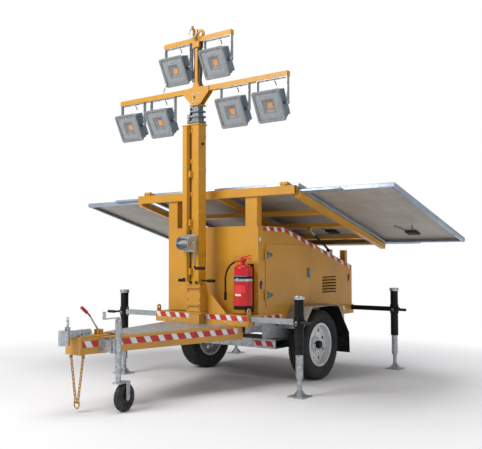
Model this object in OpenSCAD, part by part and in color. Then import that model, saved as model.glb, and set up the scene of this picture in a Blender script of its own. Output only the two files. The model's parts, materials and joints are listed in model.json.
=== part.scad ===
// Towable solar lighting tower: braked single-axle trailer, battery cabinet,
// sliding solar wings, telescopic mast with six floodlights, four outrigger jacks.
// Millimetres. +X is forward to the coupling, +Y is the left side, +Z is up.
// The origin is on the ground, in the middle of the whole machine's footprint.

/* [Trailer] */
// Tyre outer radius
wheel_r = 325; // [300:1:345]
// Tyre width
tyre_w = 184; // [165:1:205]
// Distance from the middle to a tyre's centre
track_half = 665; // [655:1:740]
// Wheel rim bead-seat radius
rim_r = 190; // [178:1:205]
// Axle spindle radius
spindle_r = 20; // [16:0.5:24]
// Underside of the yellow base frame
frame_z = 550; // [540:1:580]
// Height of the base frame
frame_h = 95; // [90:1:120]
// Front face of the base frame, ahead of the axle
frame_front = 892; // [880:1:1000]
// Half width of the base frame
frame_half = 541; // [520:1:560]
// Drawbar tip, ahead of the axle
tip_x = 2330; // [2100:1:2800]
// Drawbar tube depth
drawbar_h = 118; // [90:1:120]

/* [Cabinet] */
// Cabinet front face, ahead of the axle
cab_front = 721; // [640:1:735]
// Cabinet rear face, behind the axle (negative)
cab_rear = -1013; // [-1025:1:-900]
// Half width of the cabinet
cab_half = 535; // [505:1:540]
// Top of the cabinet at the front
cab_top = 1430; // [1340:1:1440]
// Top of the cabinet at the rear
cab_rear_top = 1060; // [1000:1:1080]
// Where the roof starts to fall
cab_ridge = 320; // [250:1:400]
// Sheet thickness
sheet = 4; // [2:0.5:5]
// Door height
door_h = 570; // [400:1:585]
// Door length
door_l = 775; // [600:1:790]

/* [Solar array] */
// Slope of the array
array_tilt = 14.5; // [8:0.5:20]
// Length of the array along its slope
array_l = 1786; // [1600:1:1800]
// Half width of the centre section
array_half = 930; // [900:1:950]
// How far a wing stands out past the centre section
wing_out = 870; // [700:1:900]
// Height of the array's tilt pin
array_pin_z = 1785; // [1785:1:1900]
// Panel frame depth
panel_t = 38; // [30:1:38]

/* [Mast] */
// Centre of the mast, ahead of the axle
mast_x = 915; // [905:1:1000]
// Outer width of the fixed mast column
column_w = 105; // [100:1:120]
// Wall of the mast tubes
mast_wall = 5; // [3:0.5:5]
// Side clearance between mast tubes
mast_clear = 1.5; // [1:0.5:2]
// Top of the fixed column
column_top = 2367; // [2100:1:2600]
// Half length of the lower lamp bar
low_bar_half = 991; // [985:1:1100]
// Half length of the upper lamp bar
up_bar_half = 400; // [398:1:500]
// Centre height of the lower lamp bar above the column top
low_bar_up = 312; // [300:1:400]
// Centre height of the upper lamp bar above the lower one
up_bar_up = 466; // [450:1:600]
// Width of a floodlight
lamp_w = 270; // [220:1:280]
// Height of a floodlight's face
lamp_h = 272; // [220:1:280]
// Downward tilt of the floodlights
lamp_tilt = 26; // [0:1:50]

/* [Outriggers and jockey wheel] */
// Front outriggers, ahead of the axle
arm_x_front = 833; // [820:1:840]
// Rear outriggers, behind the axle (negative)
arm_x_rear = -1008; // [-1010:1:-1000]
// Distance from the middle to a jack leg
leg_y = 1028; // [990:1:1200]
// Side of the square outrigger arm
arm_s = 45; // [35:1:50]
// Outer radius of the jack's outer tube
jack_r = 38.5; // [34:0.5:45]
// Foot plate side
foot_s = 150; // [120:1:160]
// Jockey wheel radius
jockey_r = 105; // [90:1:115]
// Jockey wheel stem, ahead of the axle
jockey_x = 2140; // [1950:1:2180]

/* [Hidden] */
$fn = 48;
yellow = "#d9a023";
galv = "#a9adb0";
black = "#1c1c1d";

run_gap = 0.05;      // radial clearance of a shaft in its bore
slide_gap = 1.2;     // side clearance of a square arm in its sleeve
frame_top = frame_z + frame_h;
coupling_front = tip_x + 137;
// the longest reach forward and rearward sets the origin in X
x_mid = (coupling_front + arm_x_rear - foot_s / 2) / 2;

// ---- helpers ----
module box(a, b) { translate(a) cube([b[0] - a[0], b[1] - a[1], b[2] - a[2]]); }
module rod_y(x, z, r, y0, y1) { translate([x, y0, z]) rotate([-90, 0, 0]) cylinder(h = y1 - y0, r = r); }
module rod_x(y, z, r, x0, x1) { translate([x0, y, z]) rotate([0, 90, 0]) cylinder(h = x1 - x0, r = r); }
module rod_z(x, y, r, z0, z1) { translate([x, y, z0]) cylinder(h = z1 - z0, r = r); }
// a flat plate whose outline is in the XZ plane
module plate_xz(pts, y0, y1) { translate([0, y1, 0]) rotate([90, 0, 0]) linear_extrude(y1 - y0)
  polygon(pts); }
module both_sides() { children(); mirror([0, 1, 0]) children(); }
module side(s) { if (s > 0) children(); else mirror([0, 1, 0]) children(); }
module place() { translate([-x_mid, 0, 0]) children(); }

// ---- base frame ----
arm_z = frame_z + 62;
sleeve = arm_s / 2 + slide_gap;
front_beam = frame_front - arm_x_front + 30;
rear_beam_half = sleeve + 7;
rail_w = 60;
mast_front = mast_x + column_w / 2;
mast_rear = mast_x - column_w / 2;
foot_plate = 12;     // under the mast column
cheek = 10;          // side cheeks of the mast socket
strap = 8;           // front strap of the mast socket
socket_h = 260;
module arm_sleeve(x) { box([x - sleeve, -frame_half - 10, arm_z - sleeve], [x + sleeve,
  frame_half + 10, arm_z + sleeve]); }
module lug(x) {
  difference() {
    union() {
      box([x - 25, frame_half - 14, frame_top - 1], [x + 25, frame_half - 4, frame_top + 35]);
      rod_y(x, frame_top + 35, 25, frame_half - 14, frame_half - 4);
    }
    rod_y(x, frame_top + 35, 12, frame_half - 20, frame_half);
  }
}
module chassis_frame() color(yellow) {
  difference() {
    union() {
      box([frame_front - front_beam, -frame_half, frame_z], [frame_front, frame_half, frame_top]);
      box([arm_x_rear - rear_beam_half, -frame_half, frame_z], [arm_x_rear + rear_beam_half,
        frame_half, frame_top]);
      both_sides() box([arm_x_rear, frame_half - rail_w, frame_z], [frame_front - front_beam + 1,
        frame_half, frame_top]);
      for (x = [-420, 120, 500])
        box([x - 25, -frame_half + rail_w - 1, frame_z + 30], [x + 25, frame_half - rail_w + 1, frame_top]);
    }
    arm_sleeve(arm_x_front);
    arm_sleeve(arm_x_rear);
    // the front channel is open underneath
    box([arm_x_front + sleeve + 6, -frame_half + 6, frame_z - 1], [frame_front - 6, frame_half - 6,
      frame_top - 7]);
  }
  both_sides() lug(frame_front - 34);
  // mast socket: foot plate, bracket, cheeks, strap with shelf ribs and bolts
  box([mast_rear - 45, -column_w / 2 - 40, frame_top], [mast_front + strap, column_w / 2 + 40,
    frame_top + foot_plate]);
  difference() {
    box([frame_front, -60, frame_z + 4], [mast_front, 60, frame_top + 1]);
    box([frame_front + 8, -52, frame_z - 1], [mast_front - 8, 52, frame_top - 8]);
  }
  both_sides() {
    box([mast_rear, column_w / 2, frame_top], [mast_front, column_w / 2 + cheek, frame_top + socket_h]);
    box([mast_front - 10, column_w / 2 + cheek - 1, frame_top + 20], [mast_front,
      column_w / 2 + 26, frame_top + socket_h]);
    for (z = [50, 130, 205])
      rod_x_hex(column_w / 2 + 17, frame_top + z, mast_front + strap, 9);
  }
  box([mast_front, -column_w / 2 - 26, frame_top + 20], [mast_front + strap, column_w / 2 + 26,
    frame_top + socket_h]);
  for (z = [75, 228])
    box([mast_front + strap - 1, -column_w / 2 - 20, frame_top + z], [mast_front + strap + 22,
      column_w / 2 + 20, frame_top + z + 8]);
  // side gusset of the socket
  translate([mast_rear + 8, 0, 0]) rotate([90, 0, 90]) linear_extrude(8)
    polygon([[column_w / 2 + cheek - 1, frame_top], [column_w / 2 + 240, frame_top],
             [column_w / 2 + 240, frame_top + 12], [column_w / 2 + cheek - 1, frame_top + socket_h - 25]]);
}
module rod_x_hex(y, z, x, h) { translate([x, y, z]) rotate([0, 90, 0]) cylinder(h = h, r = 10.5, $fn = 6); }

// ---- drawbar ----
link_r = 8;
link_wire = 3.5;
link_half = 10;
link_pitch = 2 * (link_half + link_r - link_wire) - 0.6;
chain_links = 12;
chain_x = tip_x - 28;
chain_y = 65;        // where a chain's first link hangs
chain_foot_y = 14;   // and its last
chain_top = frame_z - drawbar_h - 38;
strand_lean = asin((chain_y - chain_foot_y) / ((chain_links - 1) * link_pitch));
foot_z = chain_top - (chain_links - 1) * link_pitch * cos(strand_lean);
shackle_half = 26;
hook_y = chain_y + (link_half + link_r) * sin(strand_lean);
hook_z = chain_top + (link_half + link_r) * cos(strand_lean);
bar_z0 = frame_z - drawbar_h;
bar_w = 60;
bar_rear_x = 812;
bar_rear_y = 400;    // centre of a member at its rear end
bar_tip_y = 45;
bar_wall = 6;
function bar_y(x) = bar_rear_y - (x - bar_rear_x) * (bar_rear_y - bar_tip_y) / (tip_x - bar_rear_x);
top_plate = 10;
module drawbar() color(yellow) {
  both_sides() difference() {
    translate([0, 0, bar_z0]) linear_extrude(drawbar_h)
      polygon([[tip_x, bar_tip_y - bar_w / 2], [tip_x, bar_tip_y + bar_w / 2],
               [bar_rear_x, bar_rear_y + bar_w / 2], [bar_rear_x, bar_rear_y - bar_w / 2]]);
    translate([0, 0, bar_z0 + bar_wall]) linear_extrude(drawbar_h - 2 * bar_wall)
      polygon([[tip_x - 12, bar_tip_y - bar_w / 2 + bar_wall + 2], [tip_x - 12,
        bar_tip_y + bar_w / 2 - bar_wall + 2],
               [bar_rear_x - 1, bar_rear_y + bar_w / 2 - bar_wall], [bar_rear_x - 1,
                 bar_rear_y - bar_w / 2 + bar_wall]]);
  }
  // coupling plate, nose plate and underneath tie
  box([tip_x - 290, -75, frame_z - 1], [tip_x, 75, frame_z + top_plate]);
  box([tip_x - 1, -85, bar_z0 - 4], [tip_x + 12, 85, frame_z + top_plate]);
  box([1300, -bar_y(1300), bar_z0 + 20], [1340, bar_y(1300), bar_z0 + 26]);
  // handbrake pivot ears
  both_sides() box([handbrake_x - 30, 12, frame_z + top_plate - 1], [handbrake_x + 30, 20,
    handbrake_z + 14]);
  rod_y(handbrake_x, handbrake_z, 7, -26, 26);
  // chain anchors
  both_sides() difference() {
    box([chain_x - 14, hook_y - 3, hook_z - 13], [chain_x + 14, hook_y + 3, bar_z0 + 1]);
    rod_y(chain_x, hook_z, 6, hook_y - 4, hook_y + 4);
  }
}

// ---- galvanised subframe, fork pocket, side plates and checker deck ----
sub_rail_h = 70;
pocket_x = [150, 470];
pocket_z = [316, 400];
pocket_wall = 6;
deck_t = 4;
deck_front = 1900;
module subframe() color(galv) {
  both_sides() {
    difference() {
      box([arm_x_rear + 30, 400, frame_z - sub_rail_h], [bar_rear_x, 460, frame_z]);
      box([arm_x_rear + 29, 406, frame_z - sub_rail_h + 6], [bar_rear_x + 1, 454, frame_z - 6]);
    }
    // side plate with its cut-out, and the flat above it
    plate_xz([[175, pocket_z[1]], [665, pocket_z[1] + 26], [665, frame_z], [470, frame_z],
              [438, frame_z - 34], [406, frame_z], [175, frame_z]], frame_half - 6, frame_half);
    for (x = [178, 420, 655])
      box([x - 3, 459, frame_z - sub_rail_h], [x + 3, frame_half - 5, frame_z - (x == 420 ? 40 : 0)]);
    box([guard_pts[0][0] + 10, frame_half, frame_z + 2], [800, frame_half + 14, frame_z + 40]);
    // spring hangers
    for (x = [-spring_half, spring_half], y = [399, 455])
      box([x - 24, y, spring_eye_z - 24], [x + 24, y + 6, frame_z - sub_rail_h + 1]);
  }
  for (x = [-880, -380, 560])
    box([x - 30, -401, frame_z - 60], [x + 30, 401, frame_z - 10]);
  difference() {
    box([pocket_x[0], -frame_half - 4, pocket_z[0]], [pocket_x[1], frame_half + 4, pocket_z[1]]);
    box([pocket_x[0] + pocket_wall, -frame_half - 5, pocket_z[0] + pocket_wall],
        [pocket_x[1] - pocket_wall, frame_half + 5, pocket_z[1] - pocket_wall]);
  }
  // checker-plate deck between the drawbar members
  translate([0, 0, frame_z]) linear_extrude(deck_t)
    polygon([[frame_front, bar_y(frame_front)], [frame_front, -bar_y(frame_front)],
             [deck_front, -bar_y(deck_front)], [deck_front, bar_y(deck_front)]]);
}

// ---- axle and leaf springs ----
axle_s = 50;
spring_half = 320;
spring_z = 430;      // top of the main leaf in the middle
spring_rise = 20;
spring_eye_z = spring_z + spring_rise - 4;
leaf_t = 8;
leaf_half = [320, 250, 180, 110];
leaf_r = (spring_half * spring_half + spring_rise * spring_rise) / (2 * spring_rise);
spindle_end = track_half + 45;
module leaf_pack() {
  translate([0, 455, 0]) rotate([90, 0, 0]) linear_extrude(50)
    for (i = [0:3]) intersection() {
      translate([0, spring_z + leaf_r]) difference() {
        circle(r = leaf_r + leaf_t * (i + 1), $fn = 720);
        circle(r = leaf_r + leaf_t * i, $fn = 720);
      }
      translate([-leaf_half[i], 0]) square([2 * leaf_half[i], 600]);
    }
  for (x = [-spring_half, spring_half]) rod_y(x, spring_eye_z, 15, 405, 455);
  box([-45, 401, spring_z], [45, 459, spring_z + 8]);
  box([-40, 405, wheel_r + axle_s / 2 - 1], [40, 455, spring_z - 4 * leaf_t]);
  box([-45, 401, wheel_r - axle_s / 2 - 8], [45, 459, wheel_r - axle_s / 2]);
}
module running_gear() color("#55585a") {
  box([-axle_s / 2, -540, wheel_r - axle_s / 2], [axle_s / 2, 540, wheel_r + axle_s / 2]);
  both_sides() {
    rod_y(0, wheel_r, spindle_r, 539, spindle_end);
    rod_y(0, wheel_r, 32, 539, track_half - 84);
    leaf_pack();
  }
}

// ---- road wheels ----
rim_half = 76;
module wheel_at(s) { side(s) translate([0, track_half, wheel_r]) rotate([-90, 0, 0]) children(); }
bead_r = rim_r + 0.3; // the tyre's bead on its seat
module tyre(s) color(black) wheel_at(s) difference() {
  rotate_extrude($fn = 120) polygon([[bead_r, -rim_half + 6], [rim_r + 14, -rim_half + 6],
    [rim_r + 22, -rim_half - 2],
    [rim_r + 58, -tyre_w / 2], [wheel_r - 34, -tyre_w / 2 + 4], [wheel_r - 8, -tyre_w / 2 + 22],
    [wheel_r, -tyre_w / 2 + 34], [wheel_r, tyre_w / 2 - 34], [wheel_r - 8, tyre_w / 2 - 22],
    [wheel_r - 34, tyre_w / 2 - 4], [rim_r + 58, tyre_w / 2], [rim_r + 22, rim_half + 2],
    [rim_r + 14, rim_half - 6], [bead_r, rim_half - 6], [bead_r, rim_half - 16], [rim_r + 24, rim_half - 10],
    [rim_r + 60, tyre_w / 2 - 10], [wheel_r - 34, tyre_w / 2 - 14], [wheel_r - 16, tyre_w / 2 - 40],
    [wheel_r - 16, -tyre_w / 2 + 40], [wheel_r - 34, -tyre_w / 2 + 14], [rim_r + 60, -tyre_w / 2 + 10],
    [rim_r + 24, -rim_half + 10], [bead_r, -rim_half + 16]]);
  for (w = [-36, -12, 12, 36]) rotate_extrude($fn = 120)
    translate([wheel_r - 8, w - 4]) square([9, 8]);
}
nut_ring = 54;
vent_ring = 118;
module rim(s) color("#d7d8d9") wheel_at(s) difference() {
  union() {
    rotate_extrude($fn = 96) polygon([[rim_r - 7, -rim_half], [rim_r - 7, -rim_half + 5],
      [rim_r - 7, rim_half],
      [rim_r + 13, rim_half], [rim_r + 13, rim_half - 5], [rim_r, rim_half - 5], [rim_r, -rim_half + 5],
      [rim_r + 13, -rim_half + 5], [rim_r + 13, -rim_half]]);
    translate([0, 0, 12]) cylinder(h = 8, r = rim_r - 6, $fn = 96);
    translate([0, 0, 14]) cylinder(h = 22, r = 78, $fn = 96);
    translate([0, 0, -74]) cylinder(h = 88, r = 112, $fn = 96);
    translate([0, 0, 30]) cylinder(h = 42, r = 33);
    for (i = [0:4]) rotate([0, 0, 72 * i]) translate([nut_ring, 0, 34]) cylinder(h = 14, r = 11, $fn = 6);
  }
  translate([0, 0, -80]) cylinder(h = spindle_end - track_half + 88, r = spindle_r + run_gap);
  translate([0, 0, -75]) cylinder(h = 60, r = 95);
  for (i = [0:7]) rotate([0, 0, 45 * i + 22.5]) translate([vent_ring + 22, 0, 0]) cylinder(h = 30, r = 17);
}

// ---- mudguards with rubber flaps ----
guard_y = [frame_half + 4, track_half + tyre_w / 2 + 18];
guard_z = wheel_r * 2 + 38;
guard_pts = [[365, guard_z - 188], [200, guard_z], [-275, guard_z], [-500, guard_z - 288], [-512,
  guard_z - 488]];
guard_t = 4;
function unit(v) = v / norm(v);
function normal(a, b) = let(d = unit(b - a)) [d[1], -d[0]];
module strip_seg(a, b, t) { n = normal(a, b) * t; polygon([a, b, b + n, a + n]); }
module mudguards() color(galv) both_sides() {
  translate([0, guard_y[1], 0]) rotate([90, 0, 0]) linear_extrude(guard_y[1] - guard_y[0])
    for (i = [0:3]) strip_seg(guard_pts[i + 1], guard_pts[i], guard_t);
  // corner beads close the outer bends of the strip, and a stay fixes the guard to the frame
  for (i = [1, 2, 3]) rod_y(guard_pts[i][0], guard_pts[i][1], guard_t, guard_y[0], guard_y[1]);
  for (x = [150, -230]) box([x - 20, frame_half, guard_z - 50], [x + 20, guard_y[0] + 2, guard_z + 1]);
}

// ---- cabinet with array posts and beam ----
door_front = 612;
door_z = 698;
door_clear = 14;     // door overlap on each edge of its opening
roof_slope = (cab_top - cab_rear_top) / (cab_ridge - cab_rear);
function roof_z(x) = cab_top - max(0, cab_ridge - x) * roof_slope;
hinge_x = door_front + 10;
hinge_y = cab_half + 12;
hinge_pin = 5;
hinge_z = [110, 470];   // heights of the hinges above the door's foot
vent_x = [-670, -390];
post_x = [cab_front - 70, cab_front];
beam_x = [700, 745];
beam_z = [array_pin_z - 95, array_pin_z - 20];
pin_x = 722;         // the array's tilt pin
tab_y = [800, 830];
pin_r = 8;
strut_y = 500;
strut_low = [-600, 1215];
strut_pin = 6;
rest_x = cab_rear + 40;
rest_gap = 1;
module cab_outline(t) polygon([[cab_rear + t, frame_top + t], [cab_front - t, frame_top + t],
  [cab_front - t, cab_top - t],
  [cab_ridge + 0.13 * t, cab_top - t], [cab_rear + t, cab_rear_top - 0.75 * t]]);
module cab_solid(half, t) translate([0, half, 0]) rotate([90, 0, 0]) linear_extrude(2 * half)
  cab_outline(t);
module cabinet_shell() color(yellow) {
  difference() {
    cab_solid(cab_half, 0);
    cab_solid(cab_half - sheet, sheet);
    box([door_front - door_l + door_clear, -cab_half - 1, door_z + door_clear],
        [door_front - door_clear, cab_half + 1, door_z + door_h - door_clear]);
    for (i = [0:5]) box([vent_x[0], -cab_half - 1, 790 + 30 * i], [vent_x[1], cab_half + 1, 802 + 30 * i]);
  }
  both_sides() {
    // fixed hinge knuckles, leaves and pins
    for (h = hinge_z) {
      rod_z(hinge_x, hinge_y, hinge_pin, door_z + h - 48, door_z + h + 48);
      for (z = [-50, 30]) {
        rod_z(hinge_x, hinge_y, 9, door_z + h + z, door_z + h + z + 20);
        box([hinge_x, cab_half - 1, door_z + h + z], [hinge_x + 45, cab_half + 4, door_z + h + z + 20]);
        box([hinge_x - 3, cab_half - 1, door_z + h + z], [hinge_x + 6, hinge_y, door_z + h + z + 20]);
      }
    }
    // array beam tabs
    box([pin_x - 15, tab_y[0], beam_z[1] - 1], [pin_x + 15, tab_y[1], array_pin_z]);
    rod_y(pin_x, array_pin_z, 15, tab_y[0], tab_y[1]);
    rod_y(pin_x, array_pin_z, pin_r, tab_y[0] - 26, tab_y[1] + 26);
    // strut brackets on the roof
    for (y = [strut_y - 24, strut_y + 16])
      box([strut_low[0] - 22, y, roof_z(strut_low[0] - 22) - 2], [strut_low[0] + 22, y + 8,
        strut_low[1] + 14]);
    rod_y(strut_low[0], strut_low[1], strut_pin, strut_y - 24, strut_y + 24);
    // rear rest posts
    box([rest_x - 25, 430, roof_z(rest_x) - 20], [rest_x + 25, 490, rest_z()]);
  }
  box([post_x[0], -cab_half, cab_top - 1], [post_x[1], -cab_half + 113, beam_z[0] + 1]);
  box([post_x[0], 396, cab_top - 1], [post_x[1], 523, beam_z[0] + 1]);
  difference() {
    box([beam_x[0], -array_half - 2, beam_z[0]], [beam_x[1], array_half + 2, beam_z[1]]);
    box([beam_x[0] + 5, -array_half - 3, beam_z[0] + 5], [beam_x[1] - 5, array_half + 3, beam_z[1] - 5]);
  }
}
// underside of the array frame above the rear rests
function rest_z() = array_pin_z + (rest_x - 25 - pin_x) * tan(array_tilt)
  + rail_n[0] / cos(array_tilt) - rest_gap;

module door_plate() {
  box([door_front - door_l, cab_half + 1, door_z], [door_front, cab_half + 4, door_z + door_h]);
  difference() {
    box([door_front - door_l + door_clear + 6, cab_half - 20, door_z + door_clear + 6],
        [door_front - door_clear - 6, cab_half + 2, door_z + door_h - door_clear - 6]);
    box([door_front - door_l + door_clear + 9, cab_half - 21, door_z + door_clear + 9],
        [door_front - door_clear - 9, cab_half + 1, door_z + door_h - door_clear - 9]);
  }
}
latch_x = door_front - door_l + 45;
latch_z = door_z + 299;
latch_r = 8;
module door(s) color(yellow) side(s) difference() {
  union() {
    door_plate();
    for (h = hinge_z) {
      rod_z(hinge_x, hinge_y, 9, door_z + h - 29, door_z + h + 29);
      // arrow-shaped hinge strap
      plate_xz([[hinge_x, door_z + h - 29], [hinge_x, door_z + h + 29], [hinge_x - 60, door_z + h + 34],
                [hinge_x - 105, door_z + h], [hinge_x - 60, door_z + h - 34]], cab_half + 3, cab_half + 7);
      box([hinge_x - 8, cab_half + 3, door_z + h - 29], [hinge_x, hinge_y, door_z + h + 29]);
    }
  }
  for (h = hinge_z) rod_z(hinge_x, hinge_y, hinge_pin + run_gap, door_z + h - 30, door_z + h + 30);
  rod_y(latch_x, latch_z, latch_r + run_gap, cab_half - 30, cab_half + 10);
}
module latch(s) color("#5f6f7c") side(s) {
  rod_y(latch_x, latch_z, latch_r, cab_half - 26, cab_half + 8);
  box([latch_x - 20, cab_half + 5, latch_z - 46], [latch_x + 20, cab_half + 15, latch_z + 46]);
  box([latch_x - 46, cab_half - 32, latch_z - 9], [latch_x + 14, cab_half - 24, latch_z + 9]);
}

// ---- batteries and controller inside the cabinet ----
module power_pack() color("#30343a") {
  box([-300, -420, frame_top + sheet], [560, 420, frame_top + sheet + 6]);
  for (i = [0:2], y = [-400, 20])
    box([-280 + 280 * i, y, frame_top + sheet + 5], [-20 + 280 * i, y + 380, frame_top + sheet + 235]);
  box([-900, -300, frame_top + sheet], [-500, 300, frame_top + sheet + 260]);
  box([cab_front - sheet - 120, -200, 1050], [cab_front - sheet, 200, 1300]);
}

// ---- mast ----
inner_0 = column_w - 2 * mast_wall;
stage1_w = inner_0 - 2 * mast_clear;
inner_1 = stage1_w - 2 * (mast_wall - 1);
stage2_w = inner_1 - 2 * mast_clear;
inner_2 = stage2_w - 2 * (mast_wall - 1);
stage3_w = inner_2 - 2 * mast_clear;
column_foot = frame_top + foot_plate;
collar_z = [column_top + 8, column_top + 58, column_top + 105];
collar_t = 18;
guide_w = 49;        // cable guide tube at the column's front corner
guide_y = -column_w / 2 - 42;
guide_z = [column_foot + 275, column_top - 26];
module square_tube(w, inner, z0, z1) difference() {
  box([mast_x - w / 2, -w / 2, z0], [mast_x + w / 2, w / 2, z1]);
  box([mast_x - inner / 2, -inner / 2, z0 - 1], [mast_x + inner / 2, inner / 2, z1 + 1]);
}
module mast_column() color(yellow) {
  square_tube(column_w, inner_0, column_foot, column_top);
  square_tube(column_w + 16, column_w - 1, column_top - 14, column_top);
  difference() {
    box([mast_front, guide_y, guide_z[0]], [mast_front + guide_w, guide_y + guide_w, guide_z[1]]);
    box([mast_front + 4, guide_y + 4, guide_z[0] - 1], [mast_front + guide_w - 4,
      guide_y + guide_w - 4, guide_z[1] + 1]);
  }
  for (z = [guide_z[0] + 60 : 440 : guide_z[1] - 60])
    box([mast_front - 1, guide_y + guide_w - 1, z], [mast_front + 30, guide_y + guide_w + 26, z + 60]);
  difference() {
    box([mast_front - 6, guide_y - 8, guide_z[1]], [mast_front + guide_w + 6,
      guide_y + guide_w + 8, guide_z[1] + 7]);
    box([mast_front + 4, guide_y + 4, guide_z[1] - 1], [mast_front + guide_w - 4,
      guide_y + guide_w - 4, guide_z[1] + 8]);
    box([mast_front - 7, guide_y - 9, guide_z[1] - 1], [mast_front, column_w, guide_z[1] + 8]);
  }
  // side handles
  both_sides() {
    rod_y(mast_x + 20, column_foot + 283, 8, column_w / 2 - 1, column_w / 2 + 80);
    rod_y(mast_x + 20, column_foot + 283, 14, column_w / 2 + 78, column_w / 2 + 158);
  }
}
sheave_r = 17;
module collar(w, inner, z) {
  difference() {
    box([mast_x - w / 2, -w / 2, z], [mast_x + w / 2, w / 2, z + collar_t]);
    box([mast_x - inner / 2, -inner / 2, z - 1], [mast_x + inner / 2, inner / 2, z + collar_t + 1]);
  }
}
module sheave(w, z) {
  box([mast_x + 20, -w / 2 - 34, z], [mast_x + 44, -w / 2 + 1, z + collar_t]);
  rod_z(mast_x + 32, -w / 2 - 22, sheave_r, z - 6, z + collar_t + 14);
}
collar_w = column_w + 6;
module mast_stage_1() color(galv) {
  square_tube(stage1_w, inner_1, column_foot + 45, collar_z[0] + 1);
  collar(collar_w, inner_1, collar_z[0]);
  sheave(collar_w, collar_z[0] + 4);
}
module mast_stage_2() color(galv) {
  square_tube(stage2_w, inner_2, column_foot + 85, collar_z[1] + 1);
  collar(collar_w - 4, inner_2, collar_z[1]);
  sheave(collar_w - 4, collar_z[1]);
}

// ---- mast head ----
low_z = column_top + low_bar_up;
up_z = low_z + up_bar_up;
bar_s = 45;
post_s = 40;
eye_x = mast_x + 70;
eye_z = up_z + 95;
module mast_head() color(yellow) {
  square_tube(stage3_w, stage3_w - 8, column_foot + 125, low_z - 140);
  collar(collar_w - 8, stage3_w - 8, collar_z[2]);
  box([mast_x - 55, -55, low_z - 148], [mast_x + 55, 55, low_z - 136]);
  box([mast_x - bar_s / 2, -low_bar_half, low_z - bar_s / 2], [mast_x + bar_s / 2, low_bar_half,
    low_z + bar_s / 2]);
  box([mast_x - bar_s / 2, -up_bar_half, up_z - bar_s / 2], [mast_x + bar_s / 2, up_bar_half,
    up_z + bar_s / 2]);
  box([mast_x - post_s / 2, -post_s / 2, low_z - 137], [mast_x + post_s / 2, post_s / 2, up_z + 30]);
  // hub gusset plates front and rear, and a collar block under the upper bar
  for (x = [mast_x - bar_s / 2 - 8, mast_x + bar_s / 2]) difference() {
    translate([x, 0, 0]) rotate([90, 0, 90]) linear_extrude(8)
      polygon([[-50, low_z - 137], [50, low_z - 137], [150, low_z - 30], [150, low_z + 18],
               [40, low_z + 26], [22, low_z + 70], [-22, low_z + 70], [-40, low_z + 26], [-150,
                 low_z + 18], [-150, low_z - 30]]);
    rod_x(-14, low_z - 68, 13, x - 1, x + 9);
  }
  box([mast_x - 32, -38, up_z - 72], [mast_x + 32, 38, up_z - 20]);
  // round lifting lug at the rear, eye plate for the ring at the front
  difference() {
    union() {
      rod_x(0, up_z + 68, 46, mast_x - 46, mast_x - 34);
      box([mast_x - 46, -30, up_z - 10], [mast_x - 34, 30, up_z + 60]);
      box([mast_x - 40, -12, up_z + 20], [mast_x, 12, up_z + 32]);
    }
    rod_x(0, up_z + 68, 20, mast_x - 60, mast_x - 20);
  }
  difference() {
    union() {
      box([mast_x, -4, up_z + 15], [eye_x, 4, eye_z + 6]);
      rod_y(eye_x, eye_z, 20, -4, 4);
      box([mast_x + 10, -4, up_z], [eye_x - 20, 4, up_z + 40]);
    }
    rod_y(eye_x, eye_z, 11, -5, 5);
  }
}
ring_r = 44;
module lifting_ring() color("#c3c6c9")
  translate([eye_x, 0, eye_z - ring_r]) rotate([0, 90, 0]) rotate_extrude($fn = 64)
    translate([ring_r, 0]) circle(r = 6);

// lamp places: [y, bar] with bar 0 the lower and 1 the upper
lamps = [[-830, 0], [-430, 0], [430, 0], [830, 0], [-240, 1], [240, 1]];
bracket_drop = 215;
bracket_half = lamp_w / 2 + 22;
bracket_t = 5;
lamp_pin = 6;
function lamp_z(i) = (lamps[i][1] == 0 ? low_z : up_z) - bar_s / 2 - bracket_drop;
module lamp_bracket(y, z) translate([mast_x, y, z]) {
  box([-20, -bracket_half, bracket_drop - bracket_t], [20, bracket_half, bracket_drop]);
  both_sides() {
    box([-18, bracket_half - bracket_t, -6], [18, bracket_half, bracket_drop]);
    rod_y(0, 0, 18, bracket_half - bracket_t, bracket_half);
    rod_y(0, 0, 11, bracket_half, bracket_half + 7);
    rod_y(0, 0, lamp_pin, lamp_w / 2 - 28, bracket_half);
  }
}
module lamp_brackets() color(galv)
  for (i = [0:5]) lamp_bracket(lamps[i][0], lamp_z(i));
fins = 11;
module floodlight(i) color("#8f969c") translate([mast_x, lamps[i][0], lamp_z(i)]) rotate([0, lamp_tilt, 0])
  difference() {
    union() {
      box([52, -lamp_w / 2 - 5, -lamp_h / 2], [76, lamp_w / 2 + 5, lamp_h / 2]);
      box([-12, -lamp_w / 2 + 12, -lamp_h / 2 + 12], [53, lamp_w / 2 - 12, lamp_h / 2 - 12]);
      for (k = [0:fins - 1]) translate([0, (k - (fins - 1) / 2) * (lamp_w - 44) / (fins - 1), 0])
        box([-58, -2, -lamp_h / 2 + 24], [-11, 2, lamp_h / 2 - 24]);
      both_sides() rod_y(0, 0, 17, lamp_w / 2 - 13, bracket_half - bracket_t - 1);
    }
    both_sides() rod_y(0, 0, lamp_pin + run_gap, lamp_w / 2 - 30, bracket_half);
    box([66, -lamp_w / 2 + 22, -lamp_h / 2 + 22], [77, lamp_w / 2 - 22, lamp_h / 2 - 22]);
    box([34, -58, -58], [67, 58, 58]);
  }

// lamp leads clipped to the head: along both bars and beside the post
cable_r = 5;
module head_cables() color(black) {
  for (s = [-1, 1]) {
    rod_z(mast_x + bar_s / 2 + 8 + cable_r, s * (post_s / 2 + 12), cable_r, low_z + 72, up_z - 80);
    rod_y(mast_x - bar_s / 2 - cable_r, low_z - 8, cable_r, s > 0 ? 152 : -low_bar_half + 20,
      s > 0 ? low_bar_half - 20 : -152);
    rod_y(mast_x - bar_s / 2 - cable_r, up_z - 8, cable_r, s > 0 ? 34 : -up_bar_half + 20,
      s > 0 ? up_bar_half - 20 : -34);
  }
}

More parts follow.
